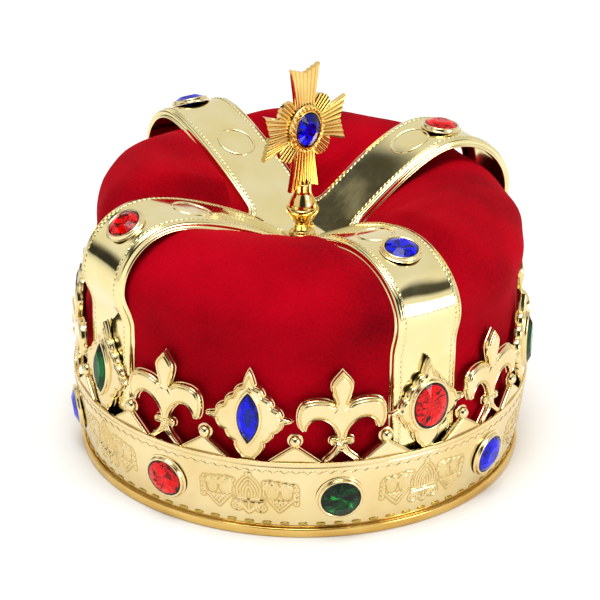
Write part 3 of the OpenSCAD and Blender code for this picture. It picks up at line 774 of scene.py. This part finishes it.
def sheet_parts():
    """The sheet's top, arm by arm; the arms meet on the diagonals."""
    parts = []
    mitre = (arch_half - ROLL) + MITRE * (corner_r + ROLL)
    u = np.linspace(-1, 1, 25)
    for k in ARMS:
        lengths, line = arm_lines[k]
        s = np.concatenate([np.linspace(0, 24, 40), np.arange(24.5, lengths[-1], 0.9), [lengths[-1]]])
        r = np.interp(s, lengths, line[:, 0])
        half = np.where(r < mitre, r, arm_half(r, ROLL))
        grid_s, grid_w = np.repeat(s[:, None], len(u), 1), half[:, None] * u[None]
        points, _ = on_arm(k, grid_s, grid_w)
        count = len(u)
        faces = quads(len(s), count, close_columns=False)[count - 1:]
        faces += [(count // 2, count + i, count + i + 1) for i in range(count - 1)]
        parts.append((points.reshape(-1, 3), faces))
    return parts


make_piece("arch_sheet_top", sheet_parts(), arch_gold, 60, ["arch_sheet"], wall=0.7)

roll_out = [(ROLL * (math.sin(a) - 1), ROLL * (math.cos(a) - 1)) for a in np.radians(np.linspace(0, 90, 7))]
roll_lip = [(0.05, -2.5), (0.35, -2.75), (0.6, -3.1), (0.55, -3.5), (0.2, -3.7), (-0.2, -3.6), (-0.45, -3.2)]
roll_in = [(-0.6, -2.2), (-0.75, -1.6), (-1.1, -1.0), (-1.5, -0.75)]
rolled_edges = [swept(*edge_run(k, 0), roll_out + roll_lip + roll_in) for k in ARMS]
make_piece("arch_rolled_edge", rolled_edges, arch_gold, 70)

BEAD_LINE = [(-0.5, -0.1), (-0.32, 0.22), (0, 0.36), (0.32, 0.22), (0.5, -0.1)]
bead_lines = [swept(*edge_run(k, lambda s: 3.2 + 0.28 * np.sin(s * 2 * math.pi / 2.4), 0.4), BEAD_LINE)
              for k in ARMS]
make_piece("arch_bead_lines", bead_lines, arch_gold, 80)


def ring_on_arm(k, radius, length, width):
    """An embossed oval ring on arm k, centred at plan radius."""
    lengths, line = arm_lines[k]
    centre = np.interp(radius, line[:200, 0], lengths[:200])
    turn = np.linspace(0, 2 * math.pi, 72, endpoint=False)
    points, outs = on_arm(k, centre + length / 2 * np.cos(turn), width / 2 * np.sin(turn))
    way = np.roll(points, -1, 0) - np.roll(points, 1, 0)
    way /= np.linalg.norm(way, axis=1)[:, None]
    sides = np.cross(way, outs)
    profile = [(-0.75, -0.1), (-0.5, 0.3), (0, 0.5), (0.5, 0.3), (0.75, -0.1)]
    return swept(points, outs, sides, profile, loop=True)


make_piece("arch_oval_rings", [ring_on_arm(k, 56, 17.7, 15.5) for k in ARMS], arch_gold, 80)


# ---- hub plate ----------------------------------------------------------------------------
# A plain moulded disc glued under the sheet, which spreads the finial's load.
# It is left as moulded: matt grey-beige ABS.

def plain_plastic(name, colour, dark_colour):
    """Unplated moulded ABS with a fine spark-eroded grain."""
    material, tree, place = new_material(name)
    grain = add(tree, "ShaderNodeTexNoise", None, {"Vector": place, "Scale": 1000 / 0.6, "Detail": 2.0})
    shade = add(tree, "ShaderNodeValToRGB", {"stops": [(0.3, dark_colour), (0.7, colour)]}, {
        "Fac": grain.outputs["Fac"]})
    bump = add(tree, "ShaderNodeBump", None, {"Height": grain.outputs["Fac"], "Distance": 0.03 * MM})
    close_material(tree, add(tree, "ShaderNodeBsdfPrincipled", None, {
        "Base Color": shade.outputs["Color"], "Roughness": 0.5, "Normal": bump.outputs["Normal"]}))
    return material


def finish_node(name, material):
    """Gives a CAD node that is right as it stands its own material."""
    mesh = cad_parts[name].data
    mesh.materials.clear()
    mesh.materials.append(material)


finish_node("hub_plate", plain_plastic("moulded_abs_natural", "#B9B4A6", "#A9A393"))


# ---- crest plates -------------------------------------------------------------------------
# Fleurs-de-lis and lozenges moulded in ABS, 3 mm thick, with a raised line round the edge and a
# thin flange at the back; they are metallised with the band and stand along its top edge.

def stood(points, angle, r, z, tilt=0.0):
    """Points given as across, up and outwards, stood at an angle round the crown and leaned out by tilt."""
    points = np.asarray(points, float)
    out, across = around(angle)
    up = np.array([0, 0, 1.0])
    leaned_up = up * math.cos(tilt) + out * math.sin(tilt)
    leaned_out = out * math.cos(tilt) - up * math.sin(tilt)
    return (r * out + z * up + points[:, :1] * across + points[:, 1:2] * leaned_up
            + points[:, 2:3] * leaned_out)


def outward(outline):
    """Directions that move each point of an anticlockwise outline outwards by one, square to both sides."""
    before = outline - np.roll(outline, 1, 0)
    after = np.roll(outline, -1, 0) - outline
    sides = [np.stack([w[:, 1], -w[:, 0]], 1) / np.maximum(np.linalg.norm(w, axis=1), 1e-9)[:, None]
             for w in (before, after)]
    mean = sides[0] + sides[1]
    mean /= np.maximum(np.linalg.norm(mean, axis=1), 1e-6)[:, None]
    return mean / np.clip((mean * sides[0]).sum(1), 0.55, 1)[:, None]


def resampled(outline, step):
    """The same closed outline with points at most step apart; its own corners stay."""
    points = []
    for a, b in zip(outline, np.roll(outline, -1, 0)):
        pieces = max(1, int(np.ceil(np.linalg.norm(b - a) / step)))
        points += [a + (b - a) * i / pieces for i in range(pieces)]
    return np.array(points)


def anticlockwise(outline):
    x, y = outline[:, 0], outline[:, 1]
    return outline if (x * np.roll(y, -1) - y * np.roll(x, -1)).sum() > 0 else outline[::-1]


def edge_distance(points, outline):
    """Distance from each point to a closed outline, and whether the point is inside it."""
    a, b = outline, np.roll(outline, -1, 0)
    way = b - a
    t = np.clip(((points[:, None] - a) * way).sum(-1) / np.maximum((way ** 2).sum(-1), 1e-9), 0, 1)
    distance = np.linalg.norm(points[:, None] - a - t[..., None] * way, axis=-1).min(1)
    x, y = points[:, :1], points[:, 1:]
    crosses = (a[:, 1] > y) != (b[:, 1] > y)
    at = a[:, 0] + (y - a[:, 1]) * way[:, 0] / np.where(np.abs(way[:, 1]) < 1e-9, 1e-9, way[:, 1])
    return distance, (crosses & (x < at)).sum(1) % 2 == 1


EDGE_LINE = np.array([(0, 0.9), (0.25, 0.42), (0.5, 0.28), (0.8, 0.45), (1.1, 0.9), (1.3, 0.85), (1.6, 0.25),
                      (1.95, 0.03), (2.3, 0)])          # inwards from the edge, and below the face
FACE_STEP = 1.5                     # between points of a plate's flat face


def relief_plate(outline, thickness, scale=1.0, flange=0.3, step=0.75):
    """A plate with a rolled lip and a groove inside its edge: points as across, up, outwards."""
    rim = resampled(anticlockwise(np.array(outline, float)), step)
    normals = outward(rim)
    count = len(rim)
    spots = [rim]
    for inset in EDGE_LINE[1:, 0] * scale:
        ring = rim - normals * inset
        distance, inside = edge_distance(ring, rim)
        spots.append(ring[inside & (distance > inset - 0.04)])
    low, high = rim.min(0), rim.max(0)
    across, up = (np.arange(low[i], high[i], FACE_STEP) for i in (0, 1))
    grid = np.stack(np.meshgrid(across, up), -1).reshape(-1, 2)
    distance, inside = edge_distance(grid, rim)
    spots.append(grid[inside & (distance > (EDGE_LINE[-1, 0] + 0.5) * scale)])
    flat = np.concatenate(spots)
    edges, border = [(i, (i + 1) % count) for i in range(count)], [list(range(count))]
    made = delaunay_2d_cdt([Vector(p) for p in flat], edges, border, 1, 1e-5)
    front = np.array([tuple(p) for p in made[0]])
    distance, _ = edge_distance(front, rim)
    drop = np.interp(distance, EDGE_LINE[:, 0] * scale, EDGE_LINE[:, 1] * scale)
    points = [np.column_stack([front, thickness - drop])]
    faces = [list(f) for f in made[2]]
    walls = [(0.0, thickness - EDGE_LINE[0, 1] * scale), (0.0, 0.75), (flange, 0.55), (flange, 0.0)]
    for offset, height in walls:
        points.append(np.column_stack([rim + normals * offset, np.full(count, height)]))
    faces += [[len(front) + i for i in f] for f in quads(len(walls), count)]
    back = delaunay_2d_cdt([Vector(p) for p in rim], edges, border, 1, 1e-5)
    faces += [[len(front) + 3 * count + i for i in reversed(f)] for f in back[2]]
    return np.concatenate(points), faces


crest_low, crest_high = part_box("lozenge_1")
crest_r = -crest_low.y / MM
crest_t = (crest_high.y - crest_low.y) / MM
crest_z = crest_low.z / MM
crest_back_r = crest_r - crest_t


def mirrored(half):
    """An outline from its right half, given from the top down."""
    half = np.array(half, float)
    left = half[::-1] * [-1, 1]
    return np.concatenate([half, left[left[:, 0] < -0.01]])


def fleur_half():
    """Right half of the fleur-de-lis, from its tip down to its foot."""
    w, h, foot, stem = 18.9, crest_top - crest_z, 7.9, 1.9
    arm_z = h - 12.8
    neck, crest, curl = np.array([2.6, h - 15.8]), np.array([w - 6.4, arm_z]), np.array([w - 3, arm_z - 14.5])
    return np.concatenate([
        bend((0, h), (1.6, h - 2.2), (4.4, h - 4.6), (4.7, h - 6.8), 6),
        bend((4.7, h - 6.8), (4.8, h - 9.4), neck + [0.6, 3.2], neck, 6),
        bend(neck, neck + [2, 2.4], crest - [4, -0.2], crest, 10),
        bend(crest, crest + [4.3, -0.2], (w, arm_z - 3.2), (w, arm_z - 7.7), 8),
        bend((w, arm_z - 7.7), (w, arm_z - 11.7), curl + [1.9, 0], curl, 8),
        bend(curl + [-0.9, 0.2], curl + [-1.5, 3.2], curl + [-3.3, 5.2], curl + [-5.6, 5.2], 8),
        bend(curl + [-5.6, 5.2], curl + [-9.4, 5.2], (stem + 0.5, 15.5), (stem, 11.2), 9),
        bend((stem, 11.0), (stem + 1.2, 11.1), (4.3, 11.4), (4.9, 10.6), 4),
        bend((4.9, 10.6), (5.5, 9.8), (5.4, 8.2), (4.6, 7.7), 5),
        bend((4.6, 7.7), (3.9, 7.4), (stem + 1, 7.9), (stem, 7.8), 4),
        bend((stem, 7.8), (stem + 0.5, 4.8), (foot - 2.8, 2.6), (foot, 0.6), 8),
        [(foot, 0), (foot - 2.7, 0), (0, 4.5)]])


def scallops(start, stop, bumps, height):
    """Outward bumps along the line from start to stop, without stop itself."""
    start, stop = np.array(start, float), np.array(stop, float)
    along = (stop - start) / bumps
    side = np.array([-along[1], along[0]]) / np.linalg.norm(along)
    t = np.linspace(0, 1, 9, endpoint=False)[:, None]
    return np.concatenate([start + along * (i + t) + side * 4 * height * t * (1 - t) for i in range(bumps)])


lozenge_side_z = 19.3


def lozenge_half():
    """Right half of the lozenge: a spear, three scallops, the side tip, two scallops and a round lobe."""
    w, h = (crest_high.x - crest_low.x) / MM / 2, (crest_high.z - crest_low.z) / MM
    side, low, foot = np.array([w - 4, lozenge_side_z + 1.5]), np.array([6.3, 7.7]), 2.8
    return np.concatenate([
        [(0, h), (0.7, h - 1.2), (1.5, h - 3), (2.2, h - 5.2)],
        scallops((2.75, h - 7.3), side, 3, 1.0),
        bend(side, side + [1.4, -0.5], (w - 0.3, lozenge_side_z + 0.9), (w, lozenge_side_z), 5),
        bend((w, lozenge_side_z), (w - 0.3, lozenge_side_z - 0.9), side - [-1.4, 2.7], side - [0, 3.4], 5),
        scallops(side - [0, 3.4], low, 2, 1.0),
        bend(low, low + [0.6, -2.6], (foot + 2, 2), (foot, 0.8), 8),
        [(foot, 0)]])


crest_shapes = [("fleur", 0.5, relief_plate(mirrored(fleur_half()), crest_t)),
                ("lozenge", 0.0, relief_plate(mirrored(lozenge_half()), crest_t))]
for i in range(8):
    for kind, share, (points, faces) in crest_shapes:
        stood_points = stood(points, (i + share) * SECTOR, crest_back_r, crest_z)
        make_piece(f"{kind}_{i + 1}_plate", [(stood_points, faces)], crown_gold, 42,
                   [f"{kind}_{i + 1}"])


# ---- balls and gables ---------------------------------------------------------------------
# Sixteen plain gables with a ball on each, moulded with the crest between its larger plates.
# Each ball stands before a small round lug.

def ball(radius, columns=24, rows=14):
    """A sphere about its own centre, its poles along the outward direction."""
    return turned([(radius * math.sin(math.pi * j / rows), -radius * math.cos(math.pi * j / rows))
                   for j in range(rows + 1)], columns, closed=False)


ball_r, gable_half, gable_h = 2.6, 10.8, 7.2
gable_back_r = (arch_foot_r + 0.1) * math.cos(SECTOR / 4) + arch_half * math.sin(SECTOR / 4)
gable_t = crest_r - gable_back_r
gable_outline = [(-gable_half, 0), (gable_half, 0), (0.9, gable_h - 0.1), (0, gable_h + 0.2),
                 (-0.9, gable_h - 0.1)]
lug_profile = [(0.01, 0), (3.3, 0), (3.3, 0.45), (3.0, 0.65), (2.2, 0.65), (1.9, gable_t - 0.3),
               (0.01, gable_t - 0.3)]
ball_z = crest_z + gable_h + ball_r - 0.2
gable_shapes = [(relief_plate(gable_outline, gable_t, 0.4, 0.25), gable_back_r, crest_z),
                (ball(ball_r), gable_back_r + gable_t / 2, ball_z),
                (turned(lug_profile, 32, closed=False), gable_back_r, ball_z)]
gable_parts = [(stood(points, (i + 0.5) * SECTOR / 2, r, z), faces)
               for i in range(16) for (points, faces), r, z in gable_shapes]
make_piece("crest_gables", gable_parts, crown_gold, 42, ["ball_points"])


# ---- gems and bezels ----------------------------------------------------------------------
# Faceted acrylic stones with a coloured foil back, each glued into a rolled, metallised bezel.
# The foil throws the light back up through the coloured stone.

def acrylic(name, colour):
    """Cast acrylic: clear, coloured right through, with a polished face."""
    material, tree, place = new_material(name)
    smears = add(tree, "ShaderNodeTexNoise", None, {"Vector": place, "Scale": 1000 / 3, "Detail": 3.0})
    worn = add(tree, "ShaderNodeMapRange", None, {
        "Value": smears.outputs["Fac"], "From Min": 0.4, "From Max": 0.8, "To Min": 0.015, "To Max": 0.06})
    close_material(tree, add(tree, "ShaderNodeBsdfPrincipled", None, {
        "Base Color": colour, "Roughness": worn.outputs["Result"], "IOR": 1.34,
        "Transmission Weight": 1.0}))
    return material


def foil(name, colour):
    """Coloured metal foil pressed on the stone's faceted back."""
    material, tree, place = new_material(name)
    crinkle = add(tree, "ShaderNodeTexNoise", None, {"Vector": place, "Scale": 1000 / 2.5, "Detail": 2.0})
    bump = add(tree, "ShaderNodeBump", None, {"Height": crinkle.outputs["Fac"], "Distance": 0.008 * MM})
    close_material(tree, add(tree, "ShaderNodeBsdfPrincipled", None, {
        "Base Color": colour, "Metallic": 1.0, "Roughness": 0.12, "Normal": bump.outputs["Normal"]}))
    return material


STONES = {                          # acrylic and foil of each colour
    "red": (acrylic("cast_acrylic_red", "#E80C10"), foil("foil_red", "#FF1810")),
    "green": (acrylic("cast_acrylic_green", "#007842"), foil("foil_green", "#109058")),
    "blue": (acrylic("cast_acrylic_blue", "#0A26DC"), foil("foil_blue", "#1028FF"))}
# Painted shade: a near-black foil on the outer ring of each stone's back, where the bezel shades it.
painted_shade_rim_foil = foil("foil_edge_painted_shade", "#16100C")
BAND_STONES = ["blue", "red", "green", "blue", "red", "blue", "red", "green"]
LOZENGE_STONES = ["red", "green", "blue", "red", "green", "blue", "green", "blue"]
ARCH_STONES = ["blue", "red", "blue", "red"]


def ellipse(width, height, count=64, turn=0.0):
    """An oval outline, its first point turned from the right."""
    angles = spread_round(count) + turn
    return np.stack([width / 2 * np.cos(angles), height / 2 * np.sin(angles)], 1)


def vesica(width, height, count=48):
    """A pointed oval: two equal arcs that meet in points at the top and bottom."""
    a, b = width / 2, height / 2
    radius = (a * a + b * b) / (2 * a)
    reach = math.asin(b / radius)
    angles = np.linspace(-reach, reach, count // 2, endpoint=False)
    right = np.stack([radius * np.cos(angles) - (radius - a), radius * np.sin(angles)], 1)
    return np.concatenate([right, -right])


def cut_stone(girdle_line, table_line, base, rise, flutes):
    """A stone's corners, its crown facets, the rim of its back in a near-black painted shade, and its fluted
    foiled back.
    The crown is the hull of the girdle and the table; the flutes throw light to different sides."""
    girdle_t, back_depth = 0.25, 1.35
    girdle = np.column_stack([girdle_line, np.full(len(girdle_line), base)])
    table = np.column_stack([table_line, np.full(len(table_line), base + girdle_t + rise)])
    shell = bmesh.new()
    for p in np.concatenate([girdle, girdle + [0, 0, girdle_t], table]):
        shell.verts.new(p)
    bmesh.ops.convex_hull(shell, input=shell.verts)
    bmesh.ops.dissolve_limit(shell, angle_limit=math.radians(0.6), verts=shell.verts, edges=shell.edges)
    shell.verts.index_update()
    shell.normal_update()
    corners = [tuple(v.co) for v in shell.verts]
    crown = [[v.index for v in f.verts] for f in shell.faces if f.normal.z > -0.5]
    shell.free()
    start, count = len(corners), len(girdle)
    depths = np.where(np.arange(count) % 2 == 0, flutes[0], flutes[1])
    shoulder = girdle * [0.88, 0.88, 1] - [0, 0, 0.42]
    valleys = np.column_stack([girdle_line * 0.5, base - depths])
    points = np.concatenate([corners, girdle, shoulder, valleys, [(0, 0, base - back_depth)]])
    after = [(k + 1) % count for k in range(count)]
    rim = [[start + k for k in face] for face in quads(2, count)]
    back = []
    for k in range(count):
        a, b = start + count + k, start + count + after[k]
        back += [(a, b, b + count), (a, b + count, a + count), (a + count, b + count, start + 3 * count)]
    return points, crown, rim, back


def oval_stone(width, height, rise, base):
    """A brilliant-cut oval: 16 girdle facets round an eight-sided table."""
    table = ellipse(width * 0.5, height * 0.5, 8, math.pi / 8)
    return cut_stone(ellipse(width, height, 16), table, base, rise, (0.3, 1.15))


def pointed_stone(width, height, rise, base):
    """A step-cut marquise with a long table."""
    return cut_stone(vesica(width, height, 16), vesica(width * 0.6, height * 0.68, 8), base, rise, (1.0, 1.1))


def stone_piece(name, stone, colour, seat, body="crown"):
    """A stone with its crown in acrylic and its back in foil; seat moves its points into place."""
    corners, crown, rim, back = stone
    clear, silvered = STONES[colour]
    piece = make_piece(name + "_stone", [(seat(corners), crown + rim + back)], [clear, painted_shade_rim_foil, silvered], 1,
                       [name], body)
    finishes = [0] * len(crown) + [1] * len(rim) + [2] * len(back)
    piece.data.polygons.foreach_set("material_index", finishes)


def collar(outline, profile):
    """A profile of (outwards, height) carried round an outline lying in the plane."""
    outline = anticlockwise(np.array(outline, float))
    sides, count, rows = outward(outline), len(outline), len(profile)
    points = np.concatenate([np.column_stack([outline + sides * o, np.full(count, h)]) for o, h in profile])
    return points, quads(rows, count, close_rows=True)


BEZEL = [(0.1, 0.0), (1.75, 0.0), (1.8, 0.25), (1.45, 0.42), (1.15, 0.5), (1.02, 0.9), (0.98, 1.5),
         (0.8, 1.85), (0.45, 2.02), (0.1, 1.95), (-0.12, 1.75), (0.1, 1.55)]    # outwards, and height
girdle = 1.55                       # height of a stone's widest line over what it sits on


def seat_at(angle, r, z, tilt=0.0):
    """What moves a stone or bezel to its place on the crown."""
    return lambda points: stood(points, angle, r, z, tilt)


def gem_row(bezel_name, bezel_node, outline, stone, stones):
    """Like stones, each (name, colour, seat), and the one piece that their bezels make."""
    ring, ring_faces = collar(outline, BEZEL)
    for name, colour, seat in stones:
        stone_piece(name, stone, colour, seat)
    rings = [(seat(ring), ring_faces) for _, _, seat in stones]
    make_piece(bezel_name, rings, crown_gold, 60, [bezel_node])


band_gem_z, band_gem_size, arch_gem_size = 19.7, (17.4, 17.4), (14.6, 14.6)
gem_row("band_gem_bezels", "band_bezels", ellipse(*band_gem_size), oval_stone(*band_gem_size, 1.9, girdle), [
    (f"band_gem_{i + 1}", colour, seat_at((i + 0.5) * SECTOR, band_r_at(band_gem_z), band_gem_z, band_tilt))
    for i, colour in enumerate(BAND_STONES)])

lozenge_stones = [(f"lozenge_gem_{i + 1}", colour,
                   seat_at(i * SECTOR, crest_r - 0.45, crest_z + lozenge_side_z + 0.7))
                  for i, colour in enumerate(LOZENGE_STONES)]
front_size, pointed_size = (17.6, 21.4), (9.6, 23.8)
gem_row("front_gem_bezel", "oval_bezel", ellipse(*front_size), oval_stone(*front_size, 1.7, girdle),
        lozenge_stones[:1])
gem_row("marquise_gem_bezels", "marquise_bezels", vesica(*pointed_size),
        pointed_stone(*pointed_size, 1.7, girdle), lozenge_stones[1:])


def seat_on_arm(k, share):
    """What moves a stone or bezel to its place on an arm: share is how far down its shoulder."""
    lengths, line = arm_lines[k]
    spot = shoulder(*shoulder_ends(k), 100)[int(round(share * 100))]
    nearest = lengths[np.argmin(((line - spot) ** 2).sum(1))]
    centres, outs = on_arm(k, np.array([nearest]), np.array([0.0]))
    out, across = outs[0], around(k * math.pi / 2)[1]
    return lambda points: (centres[0] + points[:, :1] * across + points[:, 1:2] * np.cross(out, across)
                           + (points[:, 2:3] + 0.1) * out)


gem_row("arch_gem_bezels", "arch_bezels", ellipse(*arch_gem_size), oval_stone(*arch_gem_size, 1.8, girdle), [
    (f"arch_gem_{k + 1}", ARCH_STONES[k], seat_on_arm(k, (0.17, 0.08, 0.27, 0.33)[k])) for k in ARMS])


# ---- finial post --------------------------------------------------------------------------
# A baluster moulded in ABS and metallised in a warmer gold; its spigot passes through the sheet
# and its neck carries the cross. A small pin is pressed into its waist.

finial_gold = plated_plastic("metallised_abs_warm_gold", "#EED08A", "#E0B55E", 0.09, 1.2, 0.010)
post_z = hub_z + 0.3
spigot_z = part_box("finial_post")[0].z / MM
post_line = [(0.01, 0), (5.6, 0), (5.9, 0.35), (5.5, 0.9), (4.2, 1.5), (3.55, 2.4), (3.5, 3.6), (3.6, 5.0),
             (4.3, 6.0), (5.4, 7.6), (6.4, 9.4), (7.0, 10.5), (7.25, 11.1), (7.25, 11.9), (6.9, 12.5),
             (6.2, 13.2), (6.0, 14.6), (5.3, 16.2), (4.5, 17.8), (3.95, 19.2), (3.7, 20.4), (3.62, 22.4),
             (3.65, 23.6), (3.4, 24), (0.01, 24)]       # radius, and height over the sheet
post_parts = [turned([(r, z + post_z) for r, z in eased(post_line, 0.35, closed=False)], 72, closed=False),
              turned([(3.0, post_z + 0.1), (3.0, spigot_z), (1.55, spigot_z), (1.55, post_z + 0.1)], 48)]
make_piece("finial_baluster", post_parts, finial_gold, 50, ["finial_post"], "finial")

pin_low, pin_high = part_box("neck_pin")
pin_z = (pin_low.z + pin_high.z) / 2 / MM
pin_angle = math.radians(57)
pin_line = [(0.01, 0), (1.1, 0), (1.35, 0.25), (1.4, 0.9), (1.2, 1.35), (0.7, 1.65), (0.01, 1.75)]
points, faces = turned(pin_line, 24, closed=False)
make_piece("neck_pin_head", [(stood(points, pin_angle, 3.42, pin_z), faces)], finial_gold, 50,
           ["neck_pin"], "finial")


# ---- star cross ---------------------------------------------------------------------------
# A four-armed cross with a smaller fan between each pair of arms, moulded with sharp pleats on
# both faces, metallised, and slotted over the post's neck.

cross_low, cross_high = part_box("star_cross")
cross_z = (cross_low.z + cross_high.z) / 2 / MM
cross_half_t = 1.5
cross_turn = math.radians(7)


def pleated_fan(turn, length, root_half, tip_half, notch, pleats, root=4.0, thickness=cross_half_t):
    """One pleated arm, pointing up before it is turned; its end is V-notched if notch is above 0 and
    round if it is below."""
    u = np.linspace(-1, 1, pleats * 6 + 1)
    v = np.linspace(0, 1, 9)
    grid_v, grid_u = np.meshgrid(v, u, indexing="ij")
    end = length - notch * (1 - np.abs(grid_u)) if notch > 0 else length + notch * grid_u ** 2
    x = grid_u * (root_half + (tip_half - root_half) * grid_v ** 1.25)
    y = root + (end - root) * grid_v
    fold = np.abs(np.sin(np.pi * pleats * (grid_u + 1) / 2)) ** 0.7
    z = thickness * (0.50 + 0.50 * fold) * (1 - 0.12 * grid_v * (1 - np.abs(grid_u)))
    across = x * math.cos(turn) - y * math.sin(turn)
    up = x * math.sin(turn) + y * math.cos(turn)
    rows, columns = x.shape
    points = np.concatenate([np.stack([across, up, face], -1).reshape(-1, 3) for face in (z, -z)])
    half = rows * columns
    faces = quads(rows, columns, close_columns=False)
    faces += [[half + i for i in reversed(face)] for face in faces]
    border = ([(0, i) for i in range(columns)] + [(j, columns - 1) for j in range(1, rows)]
              + [(rows - 1, i) for i in range(columns - 2, -1, -1)]
              + [(j, 0) for j in range(rows - 2, 0, -1)])
    loop = [j * columns + i for j, i in border]
    faces += [(loop[m], half + loop[m], half + loop[(m + 1) % len(loop)], loop[(m + 1) % len(loop)])
              for m in range(len(loop))]
    return points, faces


cross_shapes = [pleated_fan(math.radians(a), 28.5, 4.6, 8.0, 3.0, 7) for a in (0, 180)]
cross_shapes += [pleated_fan(math.radians(a), 22.5, 4.6, 10.5, 3.0, 8) for a in (90, 270)]
cross_shapes += [pleated_fan(math.radians(a), 17.5, 3.4, 4.6, -2.2, 5, thickness=1.3)
                 for a in (45, 135, 225, 315)]
disc_line = [(0.01, -1.45), (2.6, -1.4), (4.6, -1.1), (5.6, -0.6), (5.8, 0), (5.8, 1.1), (0.01, 1.1)]
cross_shapes.append(turned(disc_line, 40, closed=False))        # closes the hole between the fans
cross_parts = [(stood(points, cross_turn, 0, cross_z), faces) for points, faces in cross_shapes]
make_piece("star_cross_fans", cross_parts, finial_gold, 30, ["star_cross"], "finial")

cross_seat = seat_at(cross_turn, cross_half_t + 0.1, cross_z)
boss = [(-2.0, -0.2), (2.85, -0.2), (2.95, 0.4), (2.6, 0.65), (0.55, 0.7), (0.5, 1.5), (0.3, 1.75),
        (0.0, 1.75), (-0.1, 1.5), (-0.4, 0.2)]
boss_size = np.array([13.2, 16.2])
ring, ring_faces = collar(ellipse(*boss_size), boss)
make_piece("cross_gem_boss", [(cross_seat(ring), ring_faces)], finial_gold, 50,
           ["cross_bezel"], "finial")
BEADS = 24
bead_line = ellipse(*(boss_size + 3.3), BEADS)
bead_places = cross_seat(np.column_stack([bead_line, np.full(BEADS, 1.1)]))
bead_outs = np.repeat([around(cross_turn)[0]], BEADS, 0)
bead_alongs = np.roll(bead_places, -1, 0) - np.roll(bead_places, 1, 0)
set_row("cross_gem_beads", bead_places, bead_outs, bead_alongs, ball(0.98, 12, 8), finial_gold, 0.06, 11,
        "finial")
stone_piece("cross_gem", oval_stone(13, 16, 1.6, 1.35), "blue", cross_seat, "finial")


# ---- finial fastening ---------------------------------------------------------------------
# A zinc-plated cross-head screw and its washer, which hold the finial from inside the cap with
# just enough friction to stay where it is turned.

def plated_steel(name, colour, dull_colour):
    """Bright zinc-plated steel, slightly clouded where the bath left it uneven."""
    material, tree, place = new_material(name)
    bloom = add(tree, "ShaderNodeTexNoise", None, {"Vector": place, "Scale": 1000 / 2.2, "Detail": 4.0})
    shade = add(tree, "ShaderNodeValToRGB", {"stops": [(0.35, colour), (0.7, dull_colour)]}, {
        "Fac": bloom.outputs["Fac"]})
    close_material(tree, add(tree, "ShaderNodeBsdfPrincipled", None, {
        "Base Color": shade.outputs["Color"], "Metallic": 1.0, "Roughness": 0.3}))
    return material


zinc = plated_steel("zinc_plated_steel", "#C9CBCC", "#A9ACB0")
finish_node("finial_screw", zinc)
finish_node("finial_washer", zinc)
